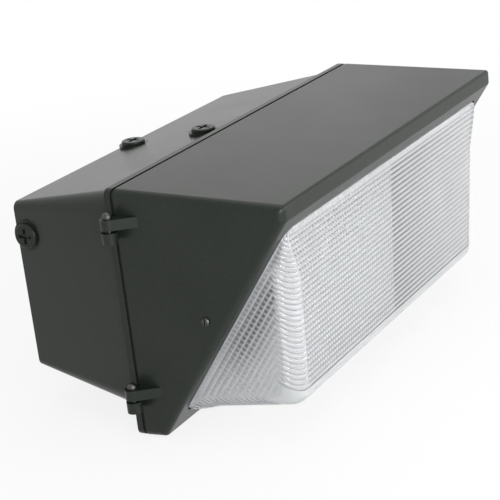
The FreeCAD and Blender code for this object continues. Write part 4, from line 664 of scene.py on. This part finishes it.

# %% [markdown]
# The two halves look different because their flutes lean different ways. On the right the grooves between the
# ribs show as long dark lines, which fade towards the right end. On the left each flute breaks them up into
# dots. Each small prism on the ends shows a dark square, clear in the upper middle and faint elsewhere. All of
# these are painted shade: to get them from bent light alone, the real prisms' exact shapes would have to be
# known. So a number on each point says how much painted shade its colour gets.

# %% Painted shade at each prism's edge
LINE_FADE, CORNER_SHARE = 0.6, 0.5
FAINT_SHARE, SQUARES_UP, SQUARES_OUT, SQUARES_REACH = 0.22, (0.045, 0.10), 0.015, 0.018


def painted_square_shade(up, out):
    """Painted shade: dark squares between the ridges of an end, strongest in its upper middle and faint
    elsewhere.
    """
    crowns = np.sqrt(np.abs(np.sin(np.pi * out / RIB_PITCH) * np.sin(np.pi * up / RIB_PITCH)))
    high = fade(up - SQUARES_UP[0], SQUARES_UP[1] - SQUARES_UP[0])
    strong = high * np.exp(-((out - SQUARES_OUT) / SQUARES_REACH) ** 2)
    return crowns * (FAINT_SHARE + (1 - FAINT_SHARE) * strong)


def painted_groove_shade(grid, ribs, front_columns):
    """How much painted shade every point of the outer grid gets, from 0 to 1."""
    valley = (-ribs / RIB_DEPTH)[:, None]
    side = np.arange(grid.shape[1]) - grid.shape[1] // 2
    place = np.abs(side)
    lines = 1 - LINE_FADE * place / front_columns
    front = np.where(side < 0, place % 2, lines)
    marks = valley * np.where(place < front_columns, front, CORNER_SHARE)
    ends = place >= front_columns + BEND_STEPS - 1
    marks[:, ends] = painted_square_shade(grid[:, ends, 1], grid[:, ends, 2])
    return marks


# Painted shade on the outer face: dark lines, dots and squares between the prisms.
outer_painted_shade = painted_groove_shade(outer_grid, ribs, len(shares))
print(f"{np.count_nonzero(outer_painted_shade > 0.5)} dark points on the outer face")

# %% [markdown]
# The two grids still need the collar that passes through the window and the flat hem that the clips hold. Both
# come from the grid's edge: its points are moved straight back, then outwards, then back again, and each loop
# is joined to the one before by a strip of faces.

# %% The collar and the hem
def edge_loop(grid):
    """The grid's outer edge as one closed row of points."""
    return np.concatenate([grid[0], grid[1:, -1], grid[-1, -2::-1], grid[-2:0:-1, 0]])


def at_level(loop, out, widen=0.0):
    """The same loop at another distance out, and widened by an even band."""
    core_low = np.array([-(glass_side - PLAN_RADIUS), PLAN_RADIUS])
    core_high = np.array([glass_side - PLAN_RADIUS, slope_length - PLAN_RADIUS])
    plan = loop[:, :2]
    away = plan - np.clip(plan, core_low, core_high)
    away /= np.maximum(np.linalg.norm(away, axis=1), 1e-9)[:, None]
    return np.column_stack([plan + away * widen, np.full(len(loop), out)])


class Shell:
    """Points and faces that grow piece by piece."""

    def __init__(self):
        self.points, self.faces = [], []

    def add_points(self, points):
        start = len(self.points)
        self.points += [tuple(point) for point in points]
        return list(range(start, len(self.points)))

    def add_grid(self, grid):
        """Adds a grid and returns the numbers of the points along its edge."""
        numbers = np.array(self.add_points(grid.reshape(-1, 3))).reshape(grid.shape[:2])
        corners = (numbers[:-1, :-1], numbers[:-1, 1:], numbers[1:, 1:], numbers[1:, :-1])
        self.faces += np.stack(corners, axis=-1).reshape(-1, 4).tolist()
        return edge_loop(numbers[:, :, None])[:, 0].tolist()

    def add_strip(self, near, points):
        """Joins a closed row of points to a new one of the same length."""
        far = self.add_points(points)
        self.faces += [(near[k - 1], near[k], far[k], far[k - 1]) for k in range(len(near))]
        return far


print(f"the outer face's edge has {len(edge_loop(outer_grid))} points")

# %% [markdown]
# A mesh that is meant to be solid has to be closed. So the loop inside the collar and the loop round the hem,
# which have different counts of points, are bridged, points that lie together are joined, and the few faces
# left folded at the collar's corners are deleted. Edges where the surface turns sharply stay crisp.

# %% A closed mesh
JOIN_DISTANCE, SHARP_ANGLE = 0.00002, math.radians(32)


def bridge_rows(shell, rows):
    """Fills the gap between two closed rows of points with faces."""
    shell.verts.ensure_lookup_table()
    edges = []
    for row in rows:
        corners = [shell.verts[number] for number in row]
        edges += [shell.edges.get((corners[k - 1], corners[k])) for k in range(len(corners))]
    bmesh.ops.bridge_loops(shell, edges=edges)


def closed_mesh(name, points, faces, bridge, painted_shade):
    """A closed mesh with joined points, outward faces and crisp edges where faces turn sharply."""
    mesh = bpy.data.meshes.new(name)
    mesh.from_pydata(points, [], faces)
    # Each point's painted shade is stored on the mesh, where the glass's finish reads it.
    mesh.attributes.new("painted_shade", "FLOAT", "POINT").data.foreach_set("value", painted_shade)
    shell = bmesh.new()
    shell.from_mesh(mesh)
    bridge_rows(shell, bridge)
    bmesh.ops.remove_doubles(shell, verts=shell.verts, dist=JOIN_DISTANCE)
    bmesh.ops.dissolve_degenerate(shell, edges=shell.edges, dist=JOIN_DISTANCE / 2)
    flaps = [face for face in shell.faces if any(edge.is_boundary for edge in face.edges)]
    bmesh.ops.delete(shell, geom=flaps, context="FACES")
    bmesh.ops.recalc_face_normals(shell, faces=shell.faces)
    open_edges = sum(1 for edge in shell.edges if len(edge.link_faces) != 2)
    shell.to_mesh(mesh)
    shell.free()
    mesh.shade_smooth()
    mesh.set_sharp_from_angle(angle=SHARP_ANGLE)
    print(f"{name}: {len(mesh.polygons)} faces, {open_edges} open edges")
    return mesh


print(f"points closer than {1000 * JOIN_DISTANCE:.2f} mm are joined")

# %% [markdown]
# Now the whole glass can be put together. It rides on the door, and it stands in for the model's plain glass,
# which stays out of sight.

# %% The whole glass
def prismatic_glass():
    shell = Shell()
    loop = shell.add_grid(outer_grid)
    collar = edge_loop(outer_grid)
    loop = shell.add_strip(loop, at_level(collar, -HEM_THICKNESS))
    loop = shell.add_strip(loop, at_level(collar, -HEM_THICKNESS, HEM_WIDTH))
    hem = shell.add_strip(loop, at_level(collar, -HEM_DEPTH, HEM_WIDTH))
    loop = shell.add_grid(inner_grid)
    throat = shell.add_strip(loop, at_level(edge_loop(inner_grid), -HEM_DEPTH))
    # Only the outer face's points get painted shade; the rest of the glass gets none.
    painted_shade = np.zeros(len(shell.points))
    painted_shade[:outer_painted_shade.size] = outer_painted_shade.ravel()
    places = [glass_origin + ACROSS * x + RIM_UP * u + RIM_OUT * w for x, u, w in shell.points]
    return closed_mesh("prismatic_glass", places, shell.faces, (hem, throat), painted_shade)


glass = bpy.data.objects.new("prismatic_glass", prismatic_glass())
bpy.context.scene.collection.objects.link(glass)
glass.data.materials.append(FINISHES["pressed_glass"])
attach(glass, "door")
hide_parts("refractor")

# %% [markdown]
# The part stands on a plain pale floor. The floor keeps the part's shadow close by, and turns white further
# off, so that it meets the white surround without a line. More lamps would whiten it too, but they would bleach
# the metal and the glass as well, so the floor's own finish shows a plain white wherever it is looked at.

# %% The pale floor
FLOOR_SIZE, FLOOR_GAP = 6.0, 0.0005
SHADOW_SHARE, SHADOW_REACH, WHITE_REACH = 0.15, 0.4, 1.3


def seen_directly(network):
    """1 for the camera, a reflection or a view through glass, and 0 where a surface only sheds light."""
    camera_ray, mirrored_ray, glass_ray = (
        network.add("LightPath", out=f"Is {way} Ray") for way in ("Camera", "Glossy", "Transmission"))
    return camera_ray.either(mirrored_ray).either(glass_ray)


def paper_floor():
    paper = Finish("pale_paper", Specular_IOR_Level=0.2, Roughness=0.9)
    paper.set("Base_Color", paper.blend(paper.grain(0.002), grey(0.84), grey(0.88)))
    away = paper.add("VectorMath", {"operation": "LENGTH"}, out="Value", Vector=paper.place())
    near = paper.add("MapRange", {"interpolation_type": "SMOOTHSTEP"}, Value=away,
                     From_Min=SHADOW_REACH, From_Max=WHITE_REACH, To_Min=1.0, To_Max=0.0)
    white = paper.add("Emission", Color=(1, 1, 1, 1), Strength=1.0)
    lit = Strand(paper, paper.shader.outputs[0])
    share = seen_directly(paper) * (1 - SHADOW_SHARE * near)
    both = paper.add("MixShader", Fac=share, Shader=lit, Shader_001=white)
    paper.feed(paper.tree.nodes["Material Output"].inputs["Surface"], both)
    return paper


def square_floor(level, half):
    corners = [(-half, -half, level), (half, -half, level), (half, half, level), (-half, half, level)]
    mesh = bpy.data.meshes.new("floor")
    mesh.from_pydata(corners, [], [(0, 1, 2, 3)])
    mesh.materials.append(paper_floor().material)
    floor = bpy.data.objects.new("floor", mesh)
    bpy.context.scene.collection.objects.link(floor)
    return floor


floor = square_floor(model_low.z - FLOOR_GAP, FLOOR_SIZE / 2)
print(f"{floor.name} at {model_low.z - FLOOR_GAP:.4f} m")

# %% [markdown]
# The powder coat is so dark that its shape shows mostly in reflections, so the studio's lamps are broad. One
# hangs overhead, a wide one stands in front, one lights the shaded left end, and a weak one behind brightens
# the tops. Each is turned to the middle of the part, which is simpler than setting its angles by hand.

# %% The studio's lamps
LAMPS = {
    "overhead": ((0.1, -0.3, 1.6), (1.8, 1.4), 11),
    "front": ((0.1, -1.7, 0.15), (2.6, 1.2), 32),
    "left": ((-1.3, -1.5, 0.3), (0.9, 1.0), 22),
    "behind": ((1.7, 1.15, 0.45), (1.2, 0.6), 0.7),
}


def soft_lamp(name, place, size, watts, aim):
    data = bpy.data.lights.new(name, "AREA")
    data.shape = "RECTANGLE"
    data.size, data.size_y = size
    data.energy = watts
    lamp = bpy.data.objects.new(name, data)
    lamp.location = place
    lamp.rotation_euler = (aim - Vector(place)).to_track_quat("-Z", "Y").to_euler()
    bpy.context.scene.collection.objects.link(lamp)


middle = (model_low + model_high) / 2
for name, settings in LAMPS.items():
    soft_lamp(name, *settings, middle)
print(f"{len(LAMPS)} lamps, {sum(watts for place, size, watts in LAMPS.values()):.1f} W together")

# %% [markdown]
# White all round gives the camera its background and gives metal and glass something bright to show. The same
# white would light the object too strongly, so it is dimmer wherever it only sheds light.

# %% The white surround
AMBIENT = 0.45

world = bpy.data.worlds.new("studio")
world.use_nodes = True
surround = Network(world.node_tree, "Background")
surround.set("Color", (1, 1, 1, 1))
surround.set("Strength", AMBIENT + (1 - AMBIENT) * seen_directly(surround))
bpy.context.scene.world = world
bpy.context.scene.view_settings.view_transform = "Standard"
print(f"the surround is 1 where it is seen, and {AMBIENT} as light")
